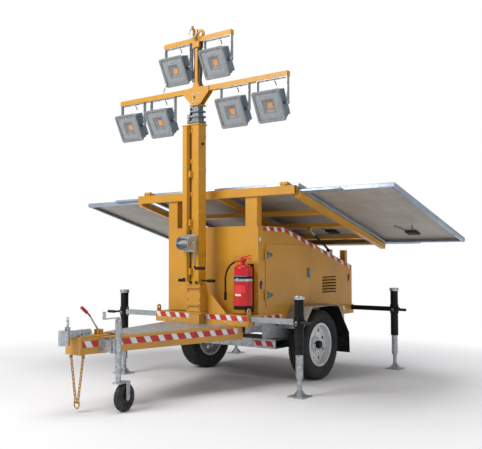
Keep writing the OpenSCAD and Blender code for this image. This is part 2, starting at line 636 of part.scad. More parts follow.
// ---- winch on the column ----
winch_z = 1276;
winch_x = mast_front + guide_w + 60;
winch_y = [-72, 64];
winch_shaft = 8;
module winch_frame() color("#b9c0c6") difference() {
  union() {
    box([mast_front, guide_y + guide_w + 1, winch_z - 70], [mast_front + guide_w + 1, 44, winch_z + 70]);
    box([mast_front + guide_w, winch_y[0] - 12, winch_z - 78], [mast_front + guide_w + 6,
      winch_y[1] + 6, winch_z + 78]);
    for (y = [winch_y[0], winch_y[1]]) {
      box([mast_front + guide_w + 5, y - 5, winch_z - 60], [winch_x, y, winch_z + 60]);
      rod_y(winch_x, winch_z, 55, y - 5, y);
    }
    for (a = [45, 135]) rod_y(winch_x + 46 * cos(a - 45), winch_z + 46 * sin(a - 45), 6,
      winch_y[0] - 4, winch_y[1] - 1);
  }
  rod_y(winch_x, winch_z, winch_shaft + run_gap, winch_y[0] - 10, winch_y[1] + 10);
  // hollow spacer behind the winch
  box([mast_front + 5, guide_y + guide_w + 6, winch_z - 71], [mast_front + guide_w - 4, 39, winch_z + 71]);
}
crank_y = 100;
crank_l = 222;
module winch_crank() color("#aeb4b8") {
  rod_y(winch_x, winch_z, winch_shaft, winch_y[0] - 9, crank_y + 6);
  rod_y(winch_x, winch_z, 24, winch_y[0] + 8, winch_y[1] - 12);
  for (y = [winch_y[0] + 4, winch_y[1] - 14]) rod_y(winch_x, winch_z, 36, y, y + 5);
  box([winch_x - 9, crank_y - 2, winch_z - crank_l], [winch_x + 9, crank_y + 4, winch_z + 16]);
  rod_y(winch_x, winch_z - crank_l, 7, crank_y + 3, crank_y + 112);
  rod_y(winch_x, winch_z - crank_l, 14, crank_y + 10, crank_y + 108);
}

// ---- solar array: drawn flat under the tilt pin, then sloped ----
module on_array() translate([pin_x, 0, array_pin_z]) rotate([0, -array_tilt, 0]) children();
top_n = 22;                       // top of the centre panels above the pin
seat_n = top_n - panel_t;         // their underside
lane_n = [seat_n - 6 - panel_t, seat_n - 6];   // the wings' level
rail_n = [lane_n[0] - 52, lane_n[0] - 4];      // side rails
web_x = -50;                      // front channel web
carrier_w = 38;
carrier_h = panel_t / 2 - 1;
wing_x = [-array_l + 8 + carrier_w + 2, web_x - 2 - carrier_w - 2];
cross_at = [-560, -983, -1400];
knuckle_y = [[tab_y[0] - 24, tab_y[0] - 2], [tab_y[1] + 2, tab_y[1] + 24]];
strut_up_local = [-983, rail_n[0] - 6];
module end_channel(web, dir) {
  // web, with a lower flange that carries the wings and an upper one that carries the panels
  box([min(web, web + dir * 6), -array_half, lane_n[0] - 6], [max(web, web + dir * 6), array_half, seat_n]);
  box([min(web, web - dir * 46), -array_half, lane_n[0] - 6], [max(web, web - dir * 46),
    array_half, lane_n[0] - 2]);
  box([min(web, web - dir * 22), -array_half, seat_n - 4], [max(web, web - dir * 22), array_half, seat_n]);
}
module array_frame() color(yellow) on_array() difference() {
  union() {
    both_sides() {
      box([-array_l + 16, array_half - 25, rail_n[0]], [web_x, array_half + 25, rail_n[1]]);
      for (k = knuckle_y) {
        box([web_x, k[0], -10], [0, k[1], 12]);
        box([web_x, k[0], seat_n - 6], [web_x + 6, k[1], 12]);
        rod_y(0, 0, 16, k[0], k[1]);
      }
      for (y = [strut_y - 24, strut_y + 16])
        box([strut_up_local[0] - 20, y, strut_up_local[1] - 18], [strut_up_local[0] + 20, y + 8,
          rail_n[1] - 1]);
      rod_y(strut_up_local[0], strut_up_local[1], strut_pin, strut_y - 24, strut_y + 24);
    }
    end_channel(web_x, 1);
    end_channel(-array_l + 6, -1);
    // cross members, notched round the struts' upper eyes
    difference() {
      for (x = cross_at)
        box([x - 20, -array_half, rail_n[0] + 8], [x + 20, array_half, lane_n[0] - 5]);
      both_sides() rod_y(strut_up_local[0], strut_up_local[1], strut_eye_r + strut_eye_play + 2,
        strut_y - 15, strut_y + 15);
    }
    box([-array_l + 60, -22, lane_n[0] - 6], [web_x - 50, 22, seat_n]);
  }
  both_sides() rod_y(0, 0, pin_r + run_gap, knuckle_y[0][0] - 1, knuckle_y[1][1] + 1);
}
module panel(x0, x1, y0, y1, n0) {
  n1 = n0 + panel_t;
  difference() {
    box([x0, y0, n0], [x1, y1, n1]);
    box([x0 + 3, y0 + 3, n0 + 3], [x1 - 3, y1 - 3, n1 - 8]);
    box([x0 + 28, y0 + 28, n0 - 1], [x1 - 28, y1 - 28, n0 + 4]);
  }
}
module centre_panels() color("#27344f") on_array() both_sides()
  panel(-array_l + 10, web_x - 6, 5, array_half - 5, seat_n);
carrier_in = 570;    // how far a carrier rail reaches back inside the frame
carrier_out = 405;   // and how far it stands out past it
lane_gap = 2;        // a wing's panel clears the other wing's carriers by this
module wing(s) color("#5b6574") on_array() side(s) {
  panel(wing_x[0] + lane_gap, wing_x[1] - lane_gap, array_half + 35, array_half + wing_out, lane_n[0]);
  // the left wing runs on the lower carrier lane and the right wing on the upper one
  n = s > 0 ? lane_n[0] : lane_n[1] - carrier_h;
  for (x = [wing_x[0] - carrier_w, wing_x[1]])
    box([x, array_half - carrier_in, n], [x + carrier_w, array_half + carrier_out, n + carrier_h]);
  // ties from the panel's ends to its carriers
  for (x = [wing_x[0] - 1, wing_x[1] - lane_gap - 1])
    box([x, array_half + 35, n], [x + lane_gap + 2, array_half + carrier_out, n + carrier_h]);
}

// ---- gas struts ----
function to_world(p) = [pin_x + p[0] * cos(array_tilt) - p[1] * sin(array_tilt),
                        array_pin_z + p[0] * sin(array_tilt) + p[1] * cos(array_tilt)];
strut_top = to_world(strut_up_local);
strut_len = norm(strut_top - strut_low);
strut_angle = atan2(strut_top[1] - strut_low[1], strut_top[0] - strut_low[0]);
strut_eye_r = 18;
strut_eye_play = 6;  // clearance of the strut's open upper eye
module along_strut() both_sides() translate([strut_low[0], strut_y, strut_low[1]]) rotate([0,
  -strut_angle, 0]) children();
module strut_tubes() color(black) along_strut() difference() {
  union() {
    rod_y(0, 0, 12, -9, 9);
    rod_x(0, 0, 11, 8, 320);
  }
  rod_y(0, 0, strut_pin + run_gap, -10, 10);
  rod_x(0, 0, 5.4, 40, 321);
}
module strut_rods() color("#c9ccce") along_strut() difference() {
  union() {
    rod_x(0, 0, 5, 50, strut_len - 8);
    rod_x(0, 0, 7.5, 50, 60);
    rod_y(strut_len, 0, strut_eye_r, -7, 7);
  }
  rod_y(strut_len, 0, strut_pin + strut_eye_play, -10, 10);
  rod_x(0, 0, 20, 49, 60.1);
}

// ---- outriggers ----
corners = [["fl", arm_x_front, 1], ["fr", arm_x_front, -1], ["rl", arm_x_rear, 1], ["rr", arm_x_rear, -1]];
arm_in = 410;
jack_z = [345, 800];
leg_r = jack_r - 7.5;
module at_corner(c) side(c[2]) translate([c[1], 0, 0]) children();
boss_y = leg_y + jack_r + 20;
module outrigger_arm(c) color("#2a2a2b") at_corner(c) difference() {
  union() {
    box([-arm_s / 2, arm_in, arm_z - arm_s / 2], [arm_s / 2, leg_y, arm_z + arm_s / 2]);
    rod_z(0, leg_y, jack_r, jack_z[0], jack_z[1]);
    rod_z(0, leg_y, jack_r + 6, arm_z - 42, arm_z + 46);
    rod_z(0, leg_y, jack_r + 4, jack_z[1] - 4, jack_z[1] + 28);
    rod_y(0, arm_z, 19, leg_y + 20, boss_y);
  }
  rod_z(0, leg_y, jack_r - 6, jack_z[0] - 1, jack_z[1] - 3);
  rod_y(0, arm_z, 8 + run_gap, leg_y + jack_r, boss_y + 1);
}
module jack_leg(c) color(galv) at_corner(c) {
  difference() {
    rod_z(0, leg_y, leg_r, 150, 540);
    rod_z(0, leg_y, leg_r - 4, 158, 541);
  }
  rod_z(0, leg_y, 19, 10, 152);
  rod_z(0, leg_y, 32, 9, 24);
  box([-foot_s / 2, leg_y - foot_s / 2, 0], [foot_s / 2, leg_y + foot_s / 2, 10]);
}
jack_crank_l = 70;
module jack_crank(c) color(black) at_corner(c) {
  rod_y(0, arm_z, 8, leg_y + jack_r + 1, boss_y + 12);
  box([-9, boss_y + 4, arm_z - 9], [jack_crank_l + 9, boss_y + 12, arm_z + 9]);
  rod_y(jack_crank_l, arm_z, 14, boss_y + 11, boss_y + 100);
}

// ---- jockey wheel ----
stem_r = 20;
stem_gap = 0.6;      // radial clearance of the stem in its tube
crank_stem_r = 6;
tube_r = 24;
jockey_out = 180;    // stem's distance from the drawbar member's centre
jockey_y = bar_y(jockey_x) + jockey_out;
clamp_half = 45;
jockey_turn = 10;
jockey_pivot_z = bar_z0 + drawbar_h / 2;
jockey_face = jockey_y - tube_r - 6;
trail = 76;
module at_jockey() translate([jockey_x, jockey_y, 0]) children();
module jockey_clamp() color(galv) {
  translate([0, 0, bar_z0 + 8]) linear_extrude(drawbar_h - 16)
    polygon([[jockey_x - clamp_half, bar_y(jockey_x - clamp_half) + bar_w / 2],
             [jockey_x + clamp_half, bar_y(jockey_x + clamp_half) + bar_w / 2],
             [jockey_x + clamp_half, bar_y(jockey_x + clamp_half) + bar_w / 2 + 8],
             [jockey_x - clamp_half, bar_y(jockey_x - clamp_half) + bar_w / 2 + 8]]);
  for (x = [-clamp_half + 6, clamp_half - 14])
    box([jockey_x + x, bar_y(jockey_x + x + 8) + bar_w / 2 + 4, bar_z0 + 14], [jockey_x + x + 8,
      jockey_face, frame_z - 14]);
  box([jockey_x - clamp_half, jockey_face - 8, bar_z0 + 8], [jockey_x + clamp_half, jockey_face,
    frame_z - 8]);
  rod_y(jockey_x, jockey_pivot_z, 12, jockey_face - 1, jockey_face + 7);
}
module jockey_tube() color(galv) difference() {
  union() {
    at_jockey() rod_z(0, 0, tube_r, 310, 690);
    box([jockey_x - 34, jockey_face + 1, jockey_pivot_z - 50], [jockey_x + 34, jockey_y,
      jockey_pivot_z + 50]);
  }
  rod_y(jockey_x, jockey_pivot_z, 12 + run_gap, jockey_face, jockey_face + 8);
  at_jockey() {
    rod_z(0, 0, stem_r + stem_gap, 300, 680);
    rod_z(0, 0, crank_stem_r + run_gap, 679, 691);
  }
}
module jockey_stem() color(galv) at_jockey() difference() {
  rod_z(0, 0, stem_r, 228, 520);
  rod_z(0, 0, stem_r - 4, 256, 521);
  rod_z(0, 0, 10 + run_gap, 227, 260);
}
module jockey_fork() color(galv) at_jockey() rotate([0, 0, jockey_turn]) {
  rod_z(0, 0, 30, 216, 227.5);
  rod_z(0, 0, 10, 217, 254);
  box([-trail - 30, -38, 216], [22, 38, 224]);
  both_sides() {
    box([-trail - 22, 33, jockey_r], [-trail + 22, 38, 217]);
    rod_y(-trail, jockey_r, 22, 33, 38);
  }
  rod_y(-trail, jockey_r, 8, -37, 37);
}
module jockey_wheel() color(black) at_jockey() rotate([0, 0, jockey_turn]) translate([-trail, 0,
  jockey_r]) rotate([-90, 0, 0])
  difference() {
    union() {
      rotate_extrude($fn = 96) polygon([[66, -22], [84, -27], [jockey_r - 8, -25], [jockey_r, -14],
        [jockey_r, 14], [jockey_r - 8, 25], [84, 27], [66, 22]]);
      cylinder(h = 24, r = 67, center = true, $fn = 96);
      cylinder(h = 60, r = 20, center = true);
    }
    cylinder(h = 70, r = 8 + run_gap, center = true);
  }
jockey_grip = 150;
module jockey_crank() color(galv) at_jockey() {
  rod_z(0, 0, 12, 690.5, 702);
  rod_z(0, 0, crank_stem_r, 560, 691);
  box([-10, -9, 698], [jockey_grip, 9, 706]);
  rod_z(jockey_grip - 10, 0, 12, 705, 755);
}

// ---- coupling, handbrake, chains ----
ball_x = coupling_front - 42;
ball_r = 25.5;
socket_z = [505, 612];
plate_z = frame_z + top_plate;
trigger_pin = [ball_x - 32, socket_z[1] + 14];
module coupling_body() color("#b4b8bb") difference() {
  union() {
    rod_z(ball_x, 0, 42, socket_z[0], socket_z[1]);
    hull() {
      rod_z(ball_x - 6, 0, 36, socket_z[1] - 50, socket_z[1], $fn = 32);
      box([tip_x - 40, -30, plate_z + 2], [tip_x - 20, 30, plate_z + 44]);
    }
    box([tip_x - 150, -45, plate_z], [tip_x - 15, 45, plate_z + 12]);
    rod_x(0, plate_z + 26, 24, tip_x - 150, tip_x - 20);
    for (x = [tip_x - 130, tip_x - 60], y = [-35, 35]) translate([x, y, plate_z + 11])
      cylinder(h = 10, r = 10, $fn = 6);
    both_sides() box([trigger_pin[0] - 14, 9, socket_z[1] - 10], [trigger_pin[0] + 14, 15,
      trigger_pin[1] + 12]);
    rod_y(trigger_pin[0], trigger_pin[1], 4, -16, 16);
  }
  rod_z(ball_x, 0, ball_r, socket_z[0] - 1, socket_z[0] + 45);
  translate([ball_x, 0, socket_z[0] + 44]) sphere(r = ball_r);
}
module coupling_trigger() color("#c6cacc") difference() {
  union() {
    rod_y(trigger_pin[0], trigger_pin[1], 10, -8, 8);
    box([trigger_pin[0] - 6, -5, trigger_pin[1]], [trigger_pin[0] + 6, 5, trigger_pin[1] + 30]);
    translate([trigger_pin[0], 0, trigger_pin[1] + 54]) rotate([90, 0, 60])
      rotate_extrude($fn = 64) translate([26, 0]) circle(r = 7);
  }
  rod_y(trigger_pin[0], trigger_pin[1], 4 + run_gap, -9, 9);
}
handbrake_x = tip_x - 238;
handbrake_z = frame_z + 36;
lever_bend = [95, 128];
lever_end = [172, 190];
module lever_leg(a, b, r) {
  d = b - a;
  translate([a[0], 0, a[1]]) rotate([0, atan2(d[0], d[1]), 0]) cylinder(h = norm(d), r = r);
}
module handbrake_lever() color("#9da2a5") translate([handbrake_x, 0, handbrake_z]) difference() {
  union() {
    rod_y(0, 0, 16, -10, 10);
    lever_leg([0, 0], lever_bend, 7);
    translate([lever_bend[0], 0, lever_bend[1]]) sphere(r = 7);
    lever_leg(lever_bend, lever_end, 7);
    lever_leg(lever_bend + 0.3 * (lever_end - lever_bend), lever_end, 12.5);
  }
  rod_y(0, 0, 7 + run_gap, -11, 11);
}
module link() {
  for (y = [-1, 1]) translate([0, y * link_r, -link_half]) cylinder(h = 2 * link_half,
    r = link_wire, $fn = 16);
  for (u = [0, 180]) rotate([u, 0, 0]) translate([0, 0, link_half]) rotate([90, 0, 90])
    rotate_extrude(angle = 180, $fn = 24) translate([link_r, 0]) circle(r = link_wire, $fn = 16);
}
module strand() translate([chain_x, chain_y, chain_top]) rotate([-strand_lean, 0, 0])
  for (i = [0:chain_links - 1]) translate([0, 0, -i * link_pitch]) rotate([0, 0, 90 * (i % 2)]) link();
shackle_pin = 3.5;
module safety_chains() color("#c39a3f") {
  both_sides() strand();
  // joining shackle and its pin
  translate([chain_x, 0, foot_z - link_half - link_r + 2 * link_wire + 0.6]) {
    rod_y(0, 0, shackle_pin, -shackle_half - 8, shackle_half + 8);
    for (y = [-shackle_half, shackle_half]) rod_z(0, y, 5, -20, 6);
    translate([0, 0, -20]) rotate([-90, 0, 90]) rotate_extrude(angle = 180, $fn = 48)
      translate([shackle_half, 0]) circle(r = 5);
  }
}

// ---- fire extinguisher on the cabinet front ----
ext_r = 82;
ext_x = cab_front + 11 + ext_r;
ext_y = 440;
ext_z = [706, 1050];
hose_r = 8;
hose_loop = 165;
module torus_arc(big, small, angle) rotate_extrude(angle = angle, $fn = 96) translate([big, 0])
  circle(r = small, $fn = 24);
module extinguisher() color("#c4161c") translate([ext_x, ext_y, 0]) {
  rod_z(0, 0, ext_r, ext_z[0], ext_z[1]);
  translate([0, 0, ext_z[1]]) intersection() {
    scale([1, 1, 0.5]) sphere(r = ext_r, $fn = 64);
    cylinder(h = 60, r = ext_r + 1);
  }
  rod_z(0, 0, 17, ext_z[1] + 30, ext_z[1] + 62);
  box([-16, -20, ext_z[1] + 56], [16, 20, ext_z[1] + 84]);
  rod_x(0, ext_z[1] + 66, 13, 14, 30);
  box([-9, -20, ext_z[1] + 82], [9, 84, ext_z[1] + 90]);
  translate([0, 0, ext_z[1] + 92]) rotate([12, 0, 0]) box([-9, -22, 2], [9, 80, 10]);
  box([-6, -22, ext_z[1] + 80], [6, -8, ext_z[1] + 100]);
  // hose: out of the valve, over and down beside the cylinder, ending in its nozzle
  rod_y(0, ext_z[1] + 68, hose_r, -36, -19);
  translate([0, -36, ext_z[1] + 68 - hose_loop]) rotate([90, 0, -90]) torus_arc(hose_loop, hose_r, 90);
  rod_z(0, -36 - hose_loop, hose_r, ext_z[0] + 130, ext_z[1] + 68.1 - hose_loop);
  rod_z(0, -36 - hose_loop, 12, ext_z[0] + 60, ext_z[0] + 131);
}
module extinguisher_bracket() color("#2c2c2e") translate([ext_x, ext_y, 0]) {
  box([-ext_r - 11, -45, ext_z[0] - 40], [-ext_r - 1, 45, ext_z[1] + 40]);
  difference() {
    union() {
      rod_z(0, 0, ext_r + 3, ext_z[0] - 14, ext_z[0] + 20);
      rod_z(0, 0, ext_r + 3, ext_z[0] + 255, ext_z[0] + 275);
    }
    rod_z(0, 0, ext_r + 0.3, ext_z[0], ext_z[0] + 300);
  }
  for (z = [ext_z[0] - 14, ext_z[0] + 255]) difference() {
    box([-ext_r - 4, -30, z], [-ext_r + 16, 30, z + 20]);
    rod_z(0, 0, ext_r + 2, z - 1, z + 21);
  }
}

place() chassis_frame();
place() drawbar();
place() subframe();
place() running_gear();
place() mudguards();
place() cabinet_shell();
place() power_pack();
place() mast_column();
place() winch_frame();
place() jockey_clamp();
place() coupling_body();
place() extinguisher();
place() extinguisher_bracket();
place() safety_chains();
place() tyre(1);  // tyre_left
place() tyre(-1);  // tyre_right
place() rim(1);  // rim_left
place() rim(-1);  // rim_right
place() door(1);  // door_left
place() door(-1);  // door_right
place() latch(1);  // latch_left
place() latch(-1);  // latch_right
place() mast_stage_1();
place() mast_stage_2();
place() mast_head();
place() lamp_brackets();
place() lifting_ring();
place() head_cables();
for (i = [0:5])
  place() floodlight(i);
place() winch_crank();
place() array_frame();
place() centre_panels();
place() wing(1);  // wing_left
place() wing(-1);  // wing_right
place() strut_tubes();
place() strut_rods();
for (c = corners) {
  place() outrigger_arm(c);
  place() jack_leg(c);
  place() jack_crank(c);
}
place() jockey_tube();
place() jockey_stem();
place() jockey_fork();
place() jockey_wheel();
place() jockey_crank();
place() handbrake_lever();
place() coupling_trigger();
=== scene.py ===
"""Looks for the towable solar lighting tower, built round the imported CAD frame."""
import json
import math
import random
import bmesh
import bpy
from mathutils import Matrix, Vector


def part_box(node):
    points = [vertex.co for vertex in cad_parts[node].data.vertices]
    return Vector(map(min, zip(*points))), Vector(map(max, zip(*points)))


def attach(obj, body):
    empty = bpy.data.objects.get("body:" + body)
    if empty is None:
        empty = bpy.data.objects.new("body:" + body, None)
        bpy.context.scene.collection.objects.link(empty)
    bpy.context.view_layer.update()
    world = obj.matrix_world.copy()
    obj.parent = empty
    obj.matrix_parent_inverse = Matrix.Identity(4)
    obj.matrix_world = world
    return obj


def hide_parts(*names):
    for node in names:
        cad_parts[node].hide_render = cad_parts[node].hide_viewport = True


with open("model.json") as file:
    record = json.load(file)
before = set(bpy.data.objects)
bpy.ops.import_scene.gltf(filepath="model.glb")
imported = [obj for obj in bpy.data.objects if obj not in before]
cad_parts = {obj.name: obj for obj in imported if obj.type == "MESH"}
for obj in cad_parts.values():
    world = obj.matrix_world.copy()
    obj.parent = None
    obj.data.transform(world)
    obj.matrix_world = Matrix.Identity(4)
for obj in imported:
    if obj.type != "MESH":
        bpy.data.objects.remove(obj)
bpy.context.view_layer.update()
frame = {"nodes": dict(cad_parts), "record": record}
random.seed(7)
NODES = frame["nodes"]
ROLE = {s["node"]: s["material_slot"] for s in frame["record"]["subparts"]}
SIDES = ((1, "left"), (-1, "right"))

# ---- the trailer's own axes: millimetres from the ground under the axle ----
tyre_low, tyre_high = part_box("tyre_left")
AXLE_X = (tyre_low.x + tyre_high.x) / 2
MM = 0.001

# ---- main places in those axes ----
CABINET_Y = 535  # side of the cabinet
DOOR_Y = 538  # outer face of a door
BASE_Y = 541  # side of the base frame
BASE_X = 892  # front of the base frame
WHEEL_Y, WHEEL_Z = 665, 325  # middle of a road wheel
MAST_X = 915  # middle of the mast and its lamp bars
MAST_FACE = 967  # front of the mast's column
JACK_Y = 1028
EXT_X, EXT_Y = 814, 440  # the extinguisher's axis
NOSE_X, NOSE_HALF = 2330, 45  # front end of the drawbar's rails, and half their spread there
RAIL_RUN, RAIL_FLARE = 1518, 355  # the rails' length along x, and how much they spread over it
ARRAY_HINGE, ARRAY_TILT = (722, 0, 1785), 14.5
LAMP_TILT = 26
LAMPS = [(-830, 2441.5), (-430, 2441.5), (430, 2441.5), (830, 2441.5), (-240, 2907.5), (240, 2907.5)]


def V(x, y, z):
    """A place in the trailer's axes, as a world point in metres."""
    return Vector((AXLE_X + x / 1000, y / 1000, z / 1000))


def back(p):
    """A world point in millimetres from the axle."""
    return (p.x - AXLE_X) * 1000, p.y * 1000, p.z * 1000


def rail_y(x):
    """How far out a drawbar rail's line lies at x."""
    return NOSE_HALF + (NOSE_X - x) * RAIL_FLARE / RAIL_RUN


# ---- camera ----
CAMERA_PLACE = (5822.4, 4170.4, 1147.6)
CAMERA_LOOK = (-0.7993, -0.5992, 0.0465)
CAMERA_ROLL = 0.145
cam_data = bpy.data.cameras.new("camera")
cam_data.lens = 52.85
cam_data.sensor_width = 36
camera = bpy.data.objects.new("camera", cam_data)
bpy.context.scene.collection.objects.link(camera)
look = Vector(CAMERA_LOOK).normalized()
right = look.cross(Vector((0, 0, 1))).normalized()
up = right.cross(look)
roll = Matrix.Rotation(math.radians(CAMERA_ROLL), 3, look)
right, up = roll @ right, roll @ up
turn = Matrix((right, up, -look)).transposed().to_4x4()
camera.matrix_world = Matrix.Translation(V(*CAMERA_PLACE)) @ turn
bpy.context.scene.camera = camera
bpy.context.scene.view_settings.view_transform = "Standard"


# ---- materials ----
def srgb(h):
    """A hex colour as linear RGBA."""
    v = [int(h[i:i + 2], 16) / 255 for i in (1, 3, 5)]
    return [c / 12.92 if c <= 0.04045 else ((c + 0.055) / 1.055) ** 2.4 for c in v] + [1]


class Nodes:
    """A small helper round a material's node tree."""

    def __init__(self, name):
        self.m = bpy.data.materials.new(name)
        self.m.use_nodes = True
        self.t = self.m.node_tree
        self.bsdf = self.t.nodes["Principled BSDF"]
        self.coord = self.t.nodes.new("ShaderNodeTexCoord")
        self.geo = self.t.nodes.new("ShaderNodeNewGeometry")

    def node(self, kind, **kw):
        n = self.t.nodes.new(kind)
        for k, v in kw.items():
            setattr(n, k, v)
        return n

    def link(self, a, b):
        self.t.links.new(a, b)

    def fix(self, **values):
        """Sets shader sockets that are the same all over the surface."""
        for key, v in values.items():
            self.bsdf.inputs[key.replace("_", " ")].default_value = v

    def axis(self, name):
        """One object coordinate, in metres."""
        s = self.node("ShaderNodeSeparateXYZ")
        self.link(self.coord.outputs["Object"], s.inputs[0])
        return s.outputs[name]

    def noise(self, scale, detail=4, rough=0.55):
        n = self.node("ShaderNodeTexNoise")
        n.inputs["Scale"].default_value = scale
        n.inputs["Detail"].default_value = detail
        n.inputs["Roughness"].default_value = rough
        self.link(self.coord.outputs["Object"], n.inputs["Vector"])
        return n.outputs["Fac"]

    def voronoi(self, scale):
        n = self.node("ShaderNodeTexVoronoi")
        n.inputs["Scale"].default_value = scale
        self.link(self.coord.outputs["Object"], n.inputs["Vector"])
        return n.outputs

    def ramp(self, fac, lo, hi, a=0.0, b=1.0):
        n = self.node("ShaderNodeMapRange")
        n.inputs["From Min"].default_value = lo
        n.inputs["From Max"].default_value = hi
        n.inputs["To Min"].default_value = a
        n.inputs["To Max"].default_value = b
        self.link(fac, n.inputs["Value"])
        return n.outputs["Result"]

    def math(self, op, a, b=None):
        n = self.node("ShaderNodeMath", operation=op)
        for i, v in enumerate((a, b)):
            if v is None:
                continue
            if isinstance(v, (int, float)):
                n.inputs[i].default_value = v
            else:
                self.link(v, n.inputs[i])
        return n.outputs[0]

    def mix(self, fac, a, b):
        n = self.node("ShaderNodeMix", data_type="RGBA")
        self.link(fac, n.inputs["Factor"])
        for key, v in (("A", a), ("B", b)):
            sock = [s for s in n.inputs if s.name == key and s.type == "RGBA"][0]
            if isinstance(v, (list, tuple)):
                sock.default_value = v
            else:
                self.link(v, sock)
        return [s for s in n.outputs if s.type == "RGBA"][0]

    def bump(self, height, strength, distance=0.001, edge=0.0):
        n = self.node("ShaderNodeBump")
        n.inputs["Strength"].default_value = strength
        n.inputs["Distance"].default_value = distance
        self.link(height, n.inputs["Height"])
        if edge:
            bv = self.node("ShaderNodeBevel", samples=4)
            bv.inputs["Radius"].default_value = edge
            self.link(bv.outputs["Normal"], n.inputs["Normal"])
        self.link(n.outputs["Normal"], self.bsdf.inputs["Normal"])

    def edges(self, radius, low=0.75, high=0.985):
        """1 near an outer edge or corner, 0 on a flat."""
        bv = self.node("ShaderNodeBevel", samples=4)
        bv.inputs["Radius"].default_value = radius
        d = self.node("ShaderNodeVectorMath", operation="DOT_PRODUCT")
        self.link(bv.outputs["Normal"], d.inputs[0])
        self.link(self.geo.outputs["True Normal"], d.inputs[1])
        return self.ramp(d.outputs["Value"], high, low)

    def z(self):
        """Height above the ground, in metres."""
        s = self.node("ShaderNodeSeparateXYZ")
        self.link(self.geo.outputs["Position"], s.inputs[0])
        return s.outputs["Z"]

    def soil(self, top, bottom, scale, lo, hi):
        """Patches of road dirt that fade out between the heights bottom and top."""
        patches = self.ramp(self.noise(scale, 6, 0.7), lo, hi)
        return self.math("MULTIPLY", self.ramp(self.z(), top, bottom), patches)

    def mottle(self, scale, detail, light, dark, lo=0.3, hi=0.7):
        return self.mix(self.ramp(self.noise(scale, detail), lo, hi), srgb(light), srgb(dark))

    def stain(self, col, fac, amount, over):
        """Lays the colour over on col, wherever fac is."""
        return self.mix(self.math("MULTIPLY", fac, amount), col, srgb(over))

    def colour(self, col):
        self.link(col, self.bsdf.inputs["Base Color"])

    def roughness(self, scale, detail, low, high):
        self.link(self.ramp(self.noise(scale, detail), 0.3, 0.7, low, high), self.bsdf.inputs["Roughness"])

    def blend(self, fac, first, second):
        """A mix of two shaders."""
        n = self.node("ShaderNodeMixShader")
        for value, socket in zip((fac, first, second), n.inputs):
            self.link(value, socket)
        return n.outputs[0]

    def glow(self):
        n = self.node("ShaderNodeEmission")
        n.inputs["Color"].default_value = (1, 1, 1, 1)
        return n.outputs[0]

    def surface(self, shader):
        self.link(shader, self.t.nodes["Material Output"].inputs["Surface"])


MAT = {}
# A finish is light, dark, metallic, roughness, specular.
YELLOW = ("#cb9125", "#b9821e", 0.0, 0.4, 0.5)
GALV = ("#c3c8cb", "#8f959a", 0.8, 0.42, 0.5)
STAGE_GALV = ("#8f9599", "#63686d", 0.8, 0.42, 0.5)
BLACK = ("#08090a", "#111214", 0.0, 0.5, 0.22)
RED = ("#cf1520", "#b01018", 0.0, 0.2, 0.5)
RED_GRIP = ("#c0202c", "#96161f", 0.0, 0.5, 0.5)
ZINC = ("#c9ced2", "#9ba2a8", 0.85, 0.34, 0.5)


def paint(name, light, dark, rough=0.38, wear="#8b8d8c", wear_on=0.35, dust="#9a8d72", coat=0.25, shine=0.5):
    """Sprayed paint with dirt near the ground, chipped edges and scuffs."""
    k = Nodes(name)
    soil = k.soil(0.85, 0.25, 9, 0.42, 0.7)
    col = k.stain(k.mottle(2.3, 5, light, dark, 0.35, 0.7), soil, 0.45, dust)
    chips = k.math("MULTIPLY", k.edges(0.0035), k.ramp(k.noise(60, 5, 0.7), 0.56, 0.62))
    scuff = k.ramp(k.noise(26, 6, 0.8), 0.735, 0.76)
    k.colour(k.stain(col, k.math("MINIMUM", k.math("ADD", chips, scuff), 1), wear_on, wear))
    sheen = k.ramp(k.noise(14, 4), 0.3, 0.7, rough - 0.06, rough + 0.1)
    k.link(k.math("ADD", sheen, k.math("MULTIPLY", soil, 0.2)), k.bsdf.inputs["Roughness"])
    k.fix(Coat_Weight=coat, Coat_Roughness=0.2, Specular_IOR_Level=shine)
    k.bump(k.noise(420, 2), 0.12, 0.0004, edge=0.0025)
    MAT[name] = k.m


def metal(name, light, dark, rough=0.42, metallic=0.85, spangle=0, bump=0.2, scale=40):
    """Bare or galvanised metal. The spangle is how dense the zinc's crystals are."""
    k = Nodes(name)
    if spangle:
        s = k.node("ShaderNodeSeparateColor")
        k.link(k.voronoi(spangle)["Color"], s.inputs[0])
        fac = k.math("ADD", k.math("MULTIPLY", s.outputs[0], 0.5), k.math("MULTIPLY", k.noise(6, 5), 0.5))
    else:
        fac = k.noise(scale, 5)
    col = k.mix(k.ramp(fac, 0.25, 0.75), srgb(light), srgb(dark))
    k.colour(k.stain(col, k.soil(0.6, 0.0, 12, 0.45, 0.7), 0.35, "#6f675b"))
    k.fix(Metallic=metallic)
    k.roughness(24, 5, rough - 0.08, rough + 0.12)
    k.bump(k.noise(180, 4), bump, 0.0006, edge=0.002)
    MAT[name] = k.m


def plain(name, light, dark, rough=0.6, bump=0.3, scale=160, **more):
    """Plastic, rubber or print, and the painted shade of the mast's slot."""
    k = Nodes(name)
    k.colour(k.stain(k.mottle(7, 6, light, dark, 0.3, 0.72), k.soil(0.7, 0.0, 16, 0.4, 0.75), 0.3, "#7b7263"))
    k.roughness(20, 4, rough - 0.08, rough + 0.1)
    k.fix(**more)
    k.bump(k.noise(scale, 4), bump, 0.0005, edge=0.002)
    MAT[name] = k.m


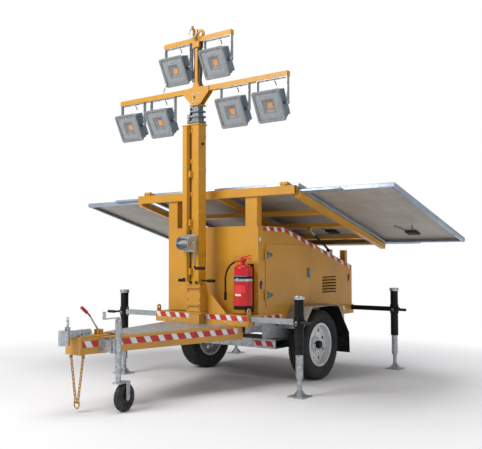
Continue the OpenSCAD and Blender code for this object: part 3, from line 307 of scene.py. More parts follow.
paint("yellow_paint", *YELLOW[:2], rough=0.4)
paint("red_paint", *RED[:2], rough=0.2, wear="#d9d4cc", wear_on=0.1, coat=0.8)
paint("black_paint", *BLACK[:2], rough=0.45, wear="#77787a", wear_on=0.3, dust="#3a3733", coat=0.0,
      shine=0.22)
paint("rim_silver", "#dfe2e6", "#c6cacf", rough=0.35, wear="#8d8f92", wear_on=0.4)
paint("axle_black", "#2c2d2f", "#3a3a3a", rough=0.55, wear="#6b5a4c", wear_on=0.4, coat=0)
metal("galvanised", "#c3c8cb", "#9aa0a4", spangle=70)
metal("stage_galv", *STAGE_GALV[:2], spangle=70)
metal("zinc", "#c9ced2", "#a3abb1", rough=0.3)
metal("gold_zinc", "#d3a547", "#a9772b", rough=0.34, scale=90)
metal("steel_rope", "#b5b7b8", "#77797a", rough=0.4, scale=300)
metal("polished_rod", "#dadddf", "#c2c6c9", rough=0.12, metallic=1.0, bump=0.03)
metal("panel_alloy", "#b4c0cd", "#94a3b3", rough=0.42, metallic=0.6, bump=0.06, scale=12)
metal("lamp_casting", "#93979b", "#7a7f85", rough=0.5, metallic=0.45, bump=0.35, scale=30)
metal("lamp_fins", "#8593a1", "#6e7d8b", rough=0.5, metallic=0.5, bump=0.3)
metal("latch_alloy", "#6d7f91", "#55677a", rough=0.4, metallic=0.6)
metal("brass", "#c9a45a", "#a37f3c", rough=0.3)
plain("black_rubber", "#17181a", "#232426", 0.75)
plain("cable_black", "#141516", "#202124", 0.5, scale=400)
plain("battery_plastic", "#2f3439", "#3b4147", 0.55)
plain("lamp_recess", "#6f7478", "#5c6165", 0.4)
# Painted shade: the dark brown of the plate that stands for the shade inside the mast's front slot.
plain("painted_slot_shade", "#4a2a12", "#2c1a0c", 0.85)
plain("marker_red", "#7d231d", "#5c1814", 0.22, bump=0.05, Coat_Weight=0.7)
plain("marker_clear", "#d9dde0", "#bcc2c7", 0.2, bump=0.05, Coat_Weight=0.7)
plain("label_white", "#e8e5df", "#d6d2ca", 0.4, bump=0.05)
plain("label_pale", "#9a93c4", "#8580b4", 0.4, bump=0.05)
plain("label_red", "#e0343c", "#d02830", 0.35, bump=0.05)
plain("chip_yellow", "#f2bf2c", "#e7a51d", 0.35, bump=0.1, scale=900)
plain("chip_orange", "#d9652a", "#c24a1e", 0.35, bump=0.1, scale=900)


def two_tone(name, first, second, where):
    """Two finishes on one CAD node, the second wherever where() gives 1."""
    k = Nodes(name)
    mask = where(k)
    grain = k.math("ADD", k.math("MULTIPLY", k.noise(4, 5), 0.6), k.math("MULTIPLY", k.noise(45, 5), 0.4))
    fac = k.ramp(grain, 0.3, 0.7)
    tones = [k.mix(fac, srgb(light), srgb(dark)) for light, dark, *_ in (first, second)]
    chips = k.math("MULTIPLY", k.edges(0.003), k.ramp(k.noise(60, 5, 0.7), 0.55, 0.62))
    col = k.stain(k.mix(mask, *tones), chips, 0.4, "#8d8e8f")
    k.colour(k.stain(col, k.soil(0.7, 0.0, 13, 0.45, 0.7), 0.25, "#857a68"))
    metallic, rough, shine = [k.ramp(mask, 0, 1, a, b) for a, b in zip(first[2:], second[2:])]
    k.link(metallic, k.bsdf.inputs["Metallic"])
    uneven = k.ramp(k.noise(22, 4), 0.3, 0.7, -0.05, 0.08)
    k.link(k.math("ADD", rough, uneven), k.bsdf.inputs["Roughness"])
    k.link(shine, k.bsdf.inputs["Specular IOR Level"])
    k.bump(k.noise(260, 3), 0.2, 0.0005, edge=0.0025)
    MAT[name] = k.m


def below(axis, limit):
    return lambda k: k.math("LESS_THAN", k.axis(axis), limit)


def above(axis, limit):
    return lambda k: k.math("GREATER_THAN", k.axis(axis), limit)


def near_middle(limit):
    return lambda k: k.math("LESS_THAN", k.math("ABSOLUTE", k.axis("Y")), limit)


def side_handles(k):
    """The grips that stand out of the mast column's sides."""
    out = k.math("GREATER_THAN", k.math("ABSOLUTE", k.axis("Y")), 0.0585)
    z = k.axis("Z")
    level = k.math("MULTIPLY", k.math("GREATER_THAN", z, 0.915), k.math("LESS_THAN", z, 0.965))
    return k.math("MULTIPLY", out, level)


def make_tyre():
    k = Nodes("tyre_rubber")
    col = k.mottle(11, 7, "#0d0e0f", "#191a1b", 0.35, 0.7)
    k.colour(k.stain(col, k.soil(0.35, 0.0, 30, 0.4, 0.65), 0.5, "#645e54"))
    k.roughness(30, 4, 0.62, 0.86)
    k.bump(k.noise(260, 5), 0.35, 0.0006, edge=0.002)
    MAT["tyre_rubber"] = k.m


def make_tape(name, pitch, across):
    """Red and silver-white safety tape with slanting bands and a fine prismatic grain."""
    lean, white_share = 0.55, 0.4
    k = Nodes(name)
    total = k.math("SUBTRACT", k.math("MULTIPLY", k.axis("Z"), lean), k.axis("X"))
    if across:
        total = k.math("ADD", total, k.axis("Y"))
    is_red = k.math("GREATER_THAN", k.math("FRACT", k.math("DIVIDE", total, pitch)), white_share)
    grain = k.voronoi(330)["Distance"]
    shade = k.ramp(grain, 0, 0.8)
    white = k.mix(shade, srgb("#e9eef0"), srgb("#c4ced3"))
    red = k.mix(shade, srgb("#d21f26"), srgb("#a91219"))
    dirt = k.ramp(k.noise(14, 6, 0.75), 0.5, 0.78)
    k.colour(k.stain(k.mix(is_red, white, red), dirt, 0.35, "#8c8273"))
    k.roughness(30, 4, 0.3, 0.5)
    k.bump(grain, 0.15, 0.0004)
    MAT[name] = k.m


def to_line(k, axis, pitch):
    """How far a point is from the nearest cell's edge, in pitches."""
    f = k.math("FRACT", k.math("DIVIDE", k.axis(axis), pitch))
    return k.math("MINIMUM", f, k.math("SUBTRACT", 1, f))


def make_cells(name, pitch):
    """Solar cells under glass, in the panel's own axes, with gaps, busbars and fingers."""
    k = Nodes(name)
    gap = k.math("MAXIMUM", *[k.math("LESS_THAN", to_line(k, axis, pitch), 0.012) for axis in ("X", "Y")])
    bus = k.math("LESS_THAN", k.math("FRACT", k.math("DIVIDE", k.axis("Y"), pitch / 4)), 0.04)
    fine = k.math("LESS_THAN", k.math("FRACT", k.math("DIVIDE", k.axis("X"), 0.0033)), 0.16)
    col = k.stain(k.mottle(5, 5, "#141d38", "#1d2a4c"), fine, 0.18, "#9aa3b3")
    col = k.mix(gap, k.stain(col, bus, 0.7, "#b6bcc6"), srgb("#c9ced4"))
    dust = k.ramp(k.noise(3, 8, 0.75), 0.5, 0.8)
    k.colour(k.stain(col, dust, 0.12, "#a89f8d"))
    k.link(k.math("ADD", k.math("MULTIPLY", dust, 0.2), 0.1), k.bsdf.inputs["Roughness"])
    k.fix(Coat_Weight=1.0, Coat_Roughness=0.06)
    MAT[name] = k.m


def make_backsheet():
    """The panel's polymer back: pale grey-beige, with the cell rows just telling through."""
    k = Nodes("backsheet")
    gap = k.math("MAXIMUM", *[k.ramp(to_line(k, axis, 0.158), 0.05, 0.0) for axis in ("X", "Y")])
    k.colour(k.stain(k.mottle(3, 6, "#aba49c", "#978f87"), gap, 0.45, "#c2bdb5"))
    k.roughness(9, 4, 0.45, 0.62)
    k.bump(k.math("ADD", k.noise(120, 4), gap), 0.12, 0.0006)
    MAT["backsheet"] = k.m


def make_glass():
    """Clear toughened glass: mostly see-through, with a faint smeared reflection."""
    k = Nodes("lamp_glass")
    k.colour(k.mix(k.noise(10, 5), srgb("#e6eaec"), srgb("#d5dadd")))
    k.roughness(18, 5, 0.03, 0.14)
    clear = k.node("ShaderNodeBsdfTransparent").outputs[0]
    smear = k.ramp(k.noise(6, 6, 0.7), 0.3, 0.8, 0.04, 0.14)
    k.surface(k.blend(smear, clear, k.bsdf.outputs[0]))
    MAT["lamp_glass"] = k.m


CELL_PITCH = {"cell_glass": 140, "cell_glass_small": 130}
make_tyre()
make_tape("safety_tape", 0.120, True)
make_tape("drawbar_tape", 0.126, False)
for cell_name, cell_pitch in CELL_PITCH.items():
    make_cells(cell_name, cell_pitch * MM)
make_backsheet()
make_glass()
make_glass()


# ---- mesh building ----
class Piece:
    """One visible piece made in mesh code, in millimetres in its own axes."""

    def __init__(self, name, mat, body, at=None):
        self.name, self.mat, self.body = name, mat, body
        self.at = at or Matrix.Translation(V(0, 0, 0))
        self.bm = bmesh.new()

    def _bevel(self, edges, width):
        if width:
            bmesh.ops.bevel(self.bm, geom=edges, offset=width, segments=2, affect="EDGES", profile=0.5)

    def box(self, lo, hi, bevel=2.0, turn=None):
        m = Matrix.Translation([(a + b) / 2 for a, b in zip(lo, hi)]) @ Matrix.Diagonal(
            [abs(b - a) for a, b in zip(lo, hi)] + [1])
        if turn:
            m = turn @ m
        made = bmesh.ops.create_cube(self.bm, size=1, matrix=m)
        self._bevel(edges_of(made["verts"]), bevel)
        return self

    def cyl(self, a, b, r, r2=None, seg=28, bevel=0):
        a, b = Vector(a), Vector(b)
        d = b - a
        m = Matrix.Translation((a + b) / 2) @ d.to_track_quat("Z", "Y").to_matrix().to_4x4()
        made = bmesh.ops.create_cone(self.bm, cap_ends=True, cap_tris=False, segments=seg, radius1=r,
                                     radius2=r if r2 is None else r2, depth=d.length, matrix=m)
        rims = [e for e in edges_of(made["verts"]) if any(len(f.verts) > 4 for f in e.link_faces)]
        self._bevel(rims, bevel)
        return self

    def bolt(self, p, direction, r=9, h=7):
        """A hex head on its washer."""
        p, d = Vector(p), Vector(direction).normalized()
        self.cyl(p, p + d * 1.6, r * 1.25, seg=20)
        self.cyl(p + d * 1.6, p + d * (1.6 + h), r, r * 0.96, seg=6)
        self.cyl(p + d * (1.6 + h), p + d * (2.2 + h), r * 0.8, r * 0.7, seg=12)
        return self

    def prism(self, pts, a, b, axis="y", bevel=0.0):
        """An outline in the plane across the axis, drawn out from a to b along it."""
        def at(u, v, w):
            return {"y": (u, w, v), "x": (w, u, v), "z": (u, v, w)}[axis]
        v0 = [self.bm.verts.new(at(u, v, a)) for u, v in pts]
        v1 = [self.bm.verts.new(at(u, v, b)) for u, v in pts]
        self.bm.faces.new(v0)
        self.bm.faces.new(v1[::-1])
        for i in range(len(pts)):
            j = (i + 1) % len(pts)
            self.bm.faces.new((v0[j], v0[i], v1[i], v1[j]))
        self._bevel(edges_of(v0 + v1), bevel)
        return self

    def revolve(self, profile, seg=96, axis="y", centre=(0, 0, 0)):
        """A closed profile of (radius, height) turned round the axis."""
        rings = []
        for i in range(seg):
            t = 2 * math.pi * i / seg
            c, s = math.cos(t), math.sin(t)
            ring = []
            for r, h in profile:
                p = {"y": (r * c, h, r * s), "z": (r * c, r * s, h), "x": (h, r * c, r * s)}[axis]
                ring.append(self.bm.verts.new([p[k] + centre[k] for k in range(3)]))
            rings.append(ring)
        n = len(profile)
        for i in range(seg):
            a, b = rings[i], rings[(i + 1) % seg]
            for j in range(n):
                j2 = (j + 1) % n
                self.bm.faces.new((a[j], a[j2], b[j2], b[j]))
        return self

    def sweep(self, pts, r, seg=10, closed=False):
        """A round tube along a smooth path."""
        path = smooth_path(pts, closed)
        rings = []
        n = len(path)
        ref = Vector((0.13, 0.21, 1)).normalized()
        for i, p in enumerate(path):
            if closed:
                d = path[(i + 1) % n] - path[i - 1]
            else:
                d = path[min(i + 1, n - 1)] - path[max(i - 1, 0)]
            d.normalize()
            u = d.cross(ref)
            if u.length < 1e-3:
                u = d.cross(Vector((1, 0, 0)))
            u.normalize()
            w = d.cross(u)
            ref = w.cross(d) if w.length < 1e-6 else ref
            turns = [2 * math.pi * k / seg for k in range(seg)]
            rings.append([self.bm.verts.new(p + (u * math.cos(t) + w * math.sin(t)) * r) for t in turns])
        for i in range(n if closed else n - 1):
            a, b = rings[i], rings[(i + 1) % n]
            for k in range(seg):
                k2 = (k + 1) % seg
                self.bm.faces.new((a[k], a[k2], b[k2], b[k]))
        if not closed:
            self.bm.faces.new(rings[0][::-1])
            self.bm.faces.new(rings[-1])
        return self

    def weld(self, a, b, r=3.0):
        """A rippled weld bead from a to b."""
        a, b = Vector(a), Vector(b)
        n = max(3, int((b - a).length / 7))
        for i in range(n):
            p = a.lerp(b, (i + 0.5) / n)
            m = Matrix.Translation(p) @ Matrix.Rotation(random.uniform(-0.3, 0.3), 4, "X") @ Matrix.Diagonal(
                (r * random.uniform(1.2, 1.6), r * random.uniform(1.2, 1.6), r * random.uniform(0.9, 1.2), 1))
            bmesh.ops.create_icosphere(self.bm, subdivisions=1, radius=1, matrix=m)
        return self

    def done(self, replaces=(), angle=38):
        """Ends the piece: puts it on its body, in place of the CAD nodes in replaces."""
        bmesh.ops.recalc_face_normals(self.bm, faces=self.bm.faces[:])
        bmesh.ops.scale(self.bm, vec=(MM, MM, MM), verts=self.bm.verts[:])
        me = bpy.data.meshes.new(self.name)
        self.bm.to_mesh(me)
        self.bm.free()
        me.materials.append(MAT[self.mat])
        me.polygons.foreach_set("use_smooth", [True] * len(me.polygons))
        me.set_sharp_from_angle(angle=math.radians(angle))
        o = bpy.data.objects.new(self.name, me)
        bpy.context.scene.collection.objects.link(o)
        o.matrix_world = self.at
        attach(o, self.body)
        if replaces:
            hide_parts(*replaces)


def edges_of(verts):
    """Each edge at the vertices, once."""
    return list(dict.fromkeys(e for v in verts for e in v.link_edges))


def smooth_path(pts, closed=False):
    """Catmull-Rom points through pts."""
    step = 6
    pts = [Vector(p) for p in pts]
    if len(pts) < 3:
        return pts
    out = []
    n = len(pts)
    spans = n if closed else n - 1
    for i in range(spans):
        if closed:
            p0, p1, p2, p3 = pts[i - 1], pts[i], pts[(i + 1) % n], pts[(i + 2) % n]
        else:
            p0, p1, p2, p3 = pts[max(i - 1, 0)], pts[i], pts[i + 1], pts[min(i + 2, n - 1)]
        for k in range(step):
            t = k / step
            out.append(0.5 * ((2 * p1) + (p2 - p0) * t + (2 * p0 - 5 * p1 + 4 * p2 - p3) * t * t
                              + (3 * p1 - p0 - 3 * p2 + p3) * t ** 3))
    if not closed:
        out.append(pts[-1])
    return out


two_tone("head_finish", YELLOW, STAGE_GALV, below("Z", 2.5305))
two_tone("column_finish", YELLOW, BLACK, side_handles)
two_tone("front_arm_finish", BLACK, GALV, near_middle(0.985))
two_tone("extinguisher_finish", RED, BLACK, below("Y", 0.352))
two_tone("guard_finish", GALV, BLACK, below("X", AXLE_X - 0.285))
two_tone("winch_crank_finish", ZINC, BLACK, below("Z", 1.073))
two_tone("lever_finish", ZINC, RED_GRIP, above("Z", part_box("handbrake_lever")[1].z - 0.085))
FINISH = {
    "mast_head": "head_finish", "mast_column": "column_finish", "outrigger_arm_fl": "front_arm_finish",
    "outrigger_arm_fr": "front_arm_finish", "extinguisher": "extinguisher_finish",
    "mudguards": "guard_finish", "winch_crank": "winch_crank_finish", "mast_stage_1": "stage_galv",
    "mast_stage_2": "stage_galv", "handbrake_lever": "lever_finish",
}

# ---- CAD nodes that show keep their shape and take a finished material ----
for name, o in NODES.items():
    o.data.materials.clear()
    o.data.materials.append(MAT[FINISH.get(name, ROLE[name])])

# ---- floor, far backdrop and lights ----
def staged(name, bm, material):
    """An object of the stage, which isn't part of the trailer."""
    me = bpy.data.meshes.new(name)
    bm.to_mesh(me)
    bm.free()
    me.materials.append(material)
    o = bpy.data.objects.new(name, me)
    bpy.context.scene.collection.objects.link(o)
    return o


def stage_floor():
    """A pale floor that turns to plain white away from the trailer."""
    bm = bmesh.new()
    bmesh.ops.create_circle(bm, cap_ends=True, segments=96, radius=16)
    k = Nodes("floor_pale")
    k.fix(Roughness=0.9, Specular_IOR_Level=0.1)
    k.colour(k.mix(k.ramp(k.noise(1.2, 3), 0.2, 0.8), [0.70, 0.70, 0.72, 1], [0.74, 0.74, 0.755, 1]))
    d = k.node("ShaderNodeVectorMath", operation="LENGTH")
    k.link(k.coord.outputs["Object"], d.inputs[0])
    k.surface(k.blend(k.ramp(d.outputs["Value"], 2.0, 4.0), k.bsdf.outputs[0], k.glow()))
    staged("floor", bm, k.m).location = (-0.3, -0.1, -0.0005)


def stage_dome():
    """A white backdrop all round, which neither lights nor shades the trailer."""
    bm = bmesh.new()
    bmesh.ops.create_uvsphere(bm, u_segments=48, v_segments=24, radius=40)
    k = Nodes("backdrop_white")
    k.surface(k.glow())
    o = staged("backdrop", bm, k.m)
    o.visible_diffuse = o.visible_glossy = o.visible_transmission = o.visible_shadow = False


def lights():
    w = bpy.data.worlds.new("studio")
    w.use_nodes = True
    w.node_tree.nodes["Background"].inputs[0].default_value = (0.95, 0.97, 1.0, 1)
    w.node_tree.nodes["Background"].inputs[1].default_value = 0.42
    bpy.context.scene.world = w
    for name, pos, size, power, colour in (
        ("key", (5.2, -1.6, 5.0), 3.0, 350, (1.0, 0.98, 0.94)),
        ("top", (-1.0, 0.3, 8.0), 4.5, 300, (1.0, 1.0, 1.0)),
        ("side", (1.5, 7.0, 2.6), 3.5, 42, (0.95, 0.97, 1.0)),
    ):
        data = bpy.data.lights.new(name, "AREA")
        data.size = size
        data.energy = power
        data.color = colour
        o = bpy.data.objects.new(name, data)
        o.location = pos
        aim = Vector((-0.3, 0, 1.2)) - Vector(pos)
        o.rotation_euler = aim.to_track_quat("-Z", "Y").to_euler()
        bpy.context.scene.collection.objects.link(o)


stage_floor()
stage_dome()
lights()


# ---- solar panels ----
def on_array(x=0, y=0):
    """The array's own axes, along its slope, moved to x, y in them."""
    slope = Matrix.Rotation(math.radians(-ARRAY_TILT), 4, "Y")
    return Matrix.Translation(V(*ARRAY_HINGE)) @ slope @ Matrix.Translation((x * MM, y * MM, 0))


def frame_bars(p, x0, x1, y0, y1, wide, low, high):
    """The four sides of a frame, two of them let in by 2 mm at their ends."""
    for a, b in (((x0, y0), (x0 + wide, y1)), ((x1 - wide, y0), (x1, y1)),
                 ((x0 + 2, y0), (x1 - 2, y0 + wide)), ((x0 + 2, y1 - wide), (x1 - 2, y1))):
        p.box((*a, low), (*b, high), 0.8)


def cell_sheet(name, body, mat, x0, y0, top):
    """Twelve by six cells with cut corners, each a thin plate of its own."""
    pitch, gap, cut = CELL_PITCH[mat], 1.5, 9
    p = Piece(name, mat, body, on_array(x0, y0))
    for i in range(12):
        for j in range(6):
            a, b = i * pitch + gap, j * pitch + gap
            c, d = a + pitch - 2 * gap, b + pitch - 2 * gap
            p.prism([(a + cut, b), (c - cut, b), (c, b + cut), (c, d - cut), (c - cut, d), (a + cut, d),
                     (a, d - cut), (a, b + cut)], top - 4.1, top - 3.2, "z")
    p.done()


def junction_box(name, body, x, y, top):
    """The box on the back of a panel, with its two leads."""
    p = Piece(name, "black_rubber", body, on_array())
    p.box((x - 55, y - 60, top - 27), (x + 55, y + 60, top - 7.5), 4)
    p.box((x - 45, y - 50, top - 29), (x + 45, y + 50, top - 26.5), 1)
    for s in (-1, 1):
        p.cyl((x + 55, y + s * 35, top - 18), (x + 78, y + s * 35, top - 18), 7, seg=12)
        p.sweep([(x + 75, y + s * 35, top - 18), (x + 140, y + s * 60, top - 13),
                 (x + 230, y + s * 90, top - 13)], 3.2)
    p.done()


def solar_panel(name, body, x0, x1, y0, y1, low, top, stands_for, box_x, rails=()):
    """A framed solar module: alloy frame, cells, backsheet and junction box."""
    y0, y1 = min(y0, y1), max(y0, y1)
    p = Piece(name + "_frame", "panel_alloy", body, on_array())
    frame_bars(p, x0, x1, y0, y1, 30, low, low + 2.5)
    frame_bars(p, x0, x1, y0, y1, 3, low + 0.5, top)
    frame_bars(p, x0, x1, y0, y1, 12, top - 2.5, top)
    for x in (x0 + 250, x1 - 250):
        for y in (y0 + 16, y1 - 16):
            p.bolt((x, y, low), (0, 0, -1), 5, 3)
    for rail in rails:
        p.box(*rail, 1.5)
    p.done(stands_for)
    p = Piece(name + "_backsheet", "backsheet", body, on_array(x0 + 53, y0 + 28))
    p.box((-50, -25, top - 8), (x1 - x0 - 56, y1 - y0 - 31, top - 4), 0.5)
    p.done()
    mat = "cell_glass" if x1 - x0 > 1700 else "cell_glass_small"
    margin_x, margin_y = [(size - n * CELL_PITCH[mat]) / 2 for size, n in ((x1 - x0, 12), (y1 - y0, 6))]
    cell_sheet(name + "_cells", body, mat, margin_x + x0, margin_y + y0, top)
    junction_box(name + "_junction_box", body, box_x, (y0 + y1) / 2, top)


for s, side in SIDES:
    solar_panel("centre_panel_" + side, "array", -1776, -56, s * 5, s * 925, -16, 22,
                ("centre_panels",) if s > 0 else (), -1500)
    low = -60 if s > 0 else -40
    carriers = [((x, s * 360, low), (x + 38, s * 1335, low + 18)) for x in (-1776, -92)]
    solar_panel("wing_" + side, "wing_" + side[0], -1736, -94, s * 965, s * 1800, -60, -22,
                ("wing_" + side,), -1450, carriers)


# ---- tyres, and the fittings of the rims ----
NUT_CIRCLE = 56


def rim_face(side):
    """How far out the rim reaches from the wheel's middle plane, less 1 mm."""
    low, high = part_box("rim_" + side)
    return (max(abs(low.y), abs(high.y)) * 1000) - WHEEL_Y - 1


def rim_disc(side, s):
    """The outer face of the disc, found by looking in from the side at the nut circle."""
    o = NODES["rim_" + side]
    start = V(NUT_CIRCLE * math.cos(0.31), s * 900, WHEEL_Z + NUT_CIRCLE * math.sin(0.31))
    hit, where, _, _ = o.ray_cast(o.matrix_world.inverted() @ start, Vector((0, -s, 0)))
    return abs(where.y * 1000) - WHEEL_Y if hit else 0


def tyre(side, s):
    """A road tyre: shoulder blocks, four ribs with cross sipes, and raised rings on the wall."""
    r, bead, blocks = 322, 190, 66
    body, at = "wheel_" + side, Matrix.Translation(V(0, s * WHEEL_Y, WHEEL_Z))
    p = Piece("tyre_tread_" + side, "tyre_rubber", body, at)
    wall = [(bead, -66), (bead + 12, -74), (bead + 26, -80), (bead + 30, -83), (bead + 34, -80),
            (bead + 60, -88), (bead + 84, -90), (r - 36, -89), (r - 32, -91), (r - 28, -88),
            (r - 14, -80), (r - 7, -70)]
    grooves = []
    for g in (-46, -16, 16, 46):
        grooves += [(r - 7 if g < -40 else r - 1.5, g - 4.5), (r - 10, g - 3.5), (r - 10, g + 3.5),
                    (r - 1.5 if g < 40 else r - 7, g + 4.5)]
    p.revolve(wall + grooves + [(a, -b) for a, b in reversed(wall)], 120)
    for i in range(blocks):
        t = 2 * math.pi * i / blocks
        for k, (ya, yb, top) in enumerate(((-41, -21, r + 1.5), (-11, 11, r + 2.5), (21, 41, r + 1.5))):
            stagger = k * math.pi / blocks * 0.6
            p.box((r - 9, ya, -11.8), (top, yb, 11.8), 1.0, turn=Matrix.Rotation(t + stagger, 4, "Y"))
        for e in (-1, 1):
            m = Matrix.Rotation(t, 4, "Y")
            p.box((r - 13, e * 51, -12.2), (r - 1, e * 75, 12.2), 1.6, turn=m)
            p.box((r - 26, e * 72, -8), (r - 9, e * 86, 8), 1.6, turn=m)
    p.done(("tyre_" + side,), angle=32)
    face = rim_face(side)
    p = Piece("rim_fittings_" + side, "black_paint", body, at)
    p.cyl((0, s * (face - 38), 0), (0, s * (face + 1.5), 0), 35, 33.5, bevel=2.5)
    p.sweep([(132, s * (face - 42), 60), (137, s * (face - 28), 62), (140, s * (face - 14), 63)], 3.2)
    p.done()
    p = Piece("wheel_nuts_" + side, "zinc", body, at)
    for i in range(5):
        t = math.radians(72 * i + 18)
        nut = (NUT_CIRCLE * math.cos(t), s * (rim_disc(side, s) - 1), NUT_CIRCLE * math.sin(t))
        p.bolt(nut, (0, s, 0), 11, 12)
    p.done()


for s, side in SIDES:
    tyre(side, s)


# ---- floodlights ----
OCTAGON = [(1, -0.9), (1, 0.9), (0.9, 1), (-0.9, 1), (-1, 0.9), (-1, -0.9), (-0.9, -1), (0.9, -1)]


def scaled(pts, a, b):
    return [(u * a, v * b) for u, v in pts]


def ring(p, out, inn, x0, x1, bevel):
    """A frame between two outlines in the YZ plane."""
    outlines = ((x0, out), (x1 - bevel, out), (x1, scaled(out, 0.985, 0.985)),
                (x1, scaled(inn, 1.02, 1.02)), (x1 - bevel, inn), (x0, inn))
    rows = [[p.bm.verts.new((x, a, b)) for a, b in pts] for x, pts in outlines]
    n = len(out)
    for a, b in zip(rows, rows[1:] + rows[:1]):
        for k in range(n):
            p.bm.faces.new((a[k], a[(k + 1) % n], b[(k + 1) % n], b[k]))


def floodlight(i, y, z):
    """One lamp: bezel, finned body, face plate, reflector, LEDs, glass and knobs."""
    at = Matrix.Translation(V(MAST_X, y, z)) @ Matrix.Rotation(math.radians(LAMP_TILT), 4, "Y")
    n, body = f"floodlight_{i}", f"lamp_{i}"
    p = Piece(n + "_bezel", "lamp_casting", body, at)
    w, h, cut = 140, 136, 14
    out = [(w, cut - h), (w, h - cut), (w - cut, h), (cut - w, h), (-w, h - cut), (-w, cut - h),
           (cut - w, -h), (w - cut, -h)]
    ring(p, out, scaled(out, 0.845, 0.845), 54, 75.5, 2.2)
    for a in (-1, 1):
        for b in (-1, 0, 1):
            p.cyl((74, a * 129, b * 104), (76, a * 129, b * 104), 5, seg=12)
            p.cyl((74, b * 104, a * 126), (76, b * 104, a * 126), 5, seg=12)
    p.done((n,))
    p = Piece(n + "_body", "lamp_fins", body, at)
    p.box((-10, -121, -122), (31, 121, 122), 9)
    ring(p, scaled(out, 0.864, 0.897), scaled(out, 0.83, 0.86), 26, 56, 1)
    fins, span, fin_half = 19, 224, 1.7
    for k in range(fins):
        across = k * span / (fins - 1) - span / 2
        tall = 108 if k % 2 else 112
        p.box((-57, across - fin_half, -tall), (-8, across + fin_half, tall), 1)
    for s in (-1, 1):
        p.cyl((0, s * 120, 0), (0, s * 150, 0), 17, 16, bevel=1.5)
    p.box((-50, -44, -20), (-8, 44, 20), 4)
    p.cyl((-30, 0, -118), (-30, 0, -86), 11, seg=12)
    p.done()
    reflector_r = 60
    p = Piece(n + "_face_plate", "lamp_casting", body, at)
    ring(p, scaled(out, 0.845, 0.845), scaled(OCTAGON, reflector_r, reflector_r), 60, 66, 0.8)
    p.done()
    p = Piece(n + "_reflector", "lamp_recess", body, at)
    steps = ((65, reflector_r), (50, 52), (38, 34), (36, 30))
    rows = [[p.bm.verts.new((x, u, v)) for u, v in scaled(OCTAGON, r, r)] for x, r in steps]
    for r0, r1 in zip(rows, rows[1:]):
        for k in range(8):
            p.bm.faces.new((r0[k], r0[(k + 1) % 8], r1[(k + 1) % 8], r1[k]))
    p.bm.faces.new(rows[-1])
    p.done(angle=20)
    p = Piece(n + "_led_plate", "chip_orange", body, at)
    p.box((36.5, -29, -29), (39, 29, 29), 0.8)
    p.done()
    p = Piece(n + "_led_chips", "chip_yellow", body, at)
    chip_pitch, chip = 6.6, 2.6
    places = [k * chip_pitch for k in range(-3, 4)]
    for u in places:
        for v in places:
            p.box((39, u - chip, v - chip), (41.5, u + chip, v + chip), 0.6)
    p.done()
    p = Piece(n + "_glass", "lamp_glass", body, at)
    p.box((67.5, -118, -114), (70.5, 118, 114), 0.8)
    p.done()
    p = Piece(n + "_knob", "black_rubber", body, at)
    for s in (-1, 1):
        p.cyl((20, s * 121, 0), (20, s * 126, 0), 7, seg=16, bevel=1)
    p.done()


for i, (y, z) in enumerate(LAMPS, 1):
    floodlight(i, y, z)


# ---- safety tape ----
TAPE_THICK = 0.6


def tape(name, *boxes):
    p = Piece(name, "safety_tape", "chassis")
    for lo, hi in boxes:
        p.box(lo, hi, 0.2)
    p.done()


for s, side in SIDES:
    y0, y1 = s * BASE_Y, s * (BASE_Y + TAPE_THICK)
    tape("tape_base_" + side, ((355, y0, 580), (770, y1, 626)), ((-850, y0, 590), (-790, y1, 636)))
    tape("tape_front_" + side, ((BASE_X, s * 62, 596), (BASE_X + TAPE_THICK, s * 538, 640)))
    tape("tape_pocket_" + side, ((470, s * 300, 334), (470 + TAPE_THICK, s * 540, 384)))
    p = Piece("tape_cabinet_" + side, "safety_tape", "chassis")
    wide = 36
    for (xa, za), (xb, zb) in (((-1005, 1058), (-345, 1241)), ((-300, 1254), (300, 1420)),
                               ((300, 1420), (645, 1424))):
        p.prism([(xa, za - wide), (xb, zb - wide), (xb, zb), (xa, za)],
                *sorted((s * CABINET_Y, s * (CABINET_Y + TAPE_THICK))))
    p.done()
    p = Piece("tape_drawbar_" + side, "drawbar_tape", "chassis")
    rail_half, thick = 30.9, 0.5
    for x0, x1 in ((870, 2050), (2195, 2318)):
        ya, yb = [s * (rail_y(x) + rail_half) for x in (x0, x1)]
        quad = [(x0, ya, 482), (x1, yb, 482), (x1, yb, 530), (x0, ya, 530)]
        vs = [p.bm.verts.new(q) for q in quad] + [p.bm.verts.new((x, y + s * thick, z)) for x, y, z in quad]
        for f in ((0, 1, 2, 3), (7, 6, 5, 4), (0, 4, 5, 1), (1, 5, 6, 2), (2, 6, 7, 3), (3, 7, 4, 0)):
            p.bm.faces.new([vs[k] for k in f])
    p.done()

# ---- lamps and reflectors of the trailer ----
for s, side in SIDES:
    p = Piece("marker_lamp_base_" + side, "black_rubber", "chassis")
    q = Piece("marker_lamp_lens_" + side, "marker_red", "chassis")
    for x, z in ((678, 904), (-945, 931)):
        p.box((x - 17, s * 534, z - 34), (x + 17, s * 539, z + 34), 2)
        q.box((x - 13, s * 538, z - 29), (x + 13, s * 545, z + 29), 3)
    p.done()
    q.done()
    p = Piece("reflector_" + side, "marker_clear", "chassis")
    p.box((680, s * 534, 1295), (708, s * 539, 1330), 2)
    p.done()
p = Piece("tail_lamp_housing", "black_rubber", "chassis")
q = Piece("tail_lamp_lens", "marker_red", "chassis")
for s in (-1, 1):
    p.box((-1036, s * 330, 560), (-1030, s * 480, 632), 2)
    q.box((-1038, s * 338, 568), (-1035, s * 405, 624), 1)
p.done()
q.done()

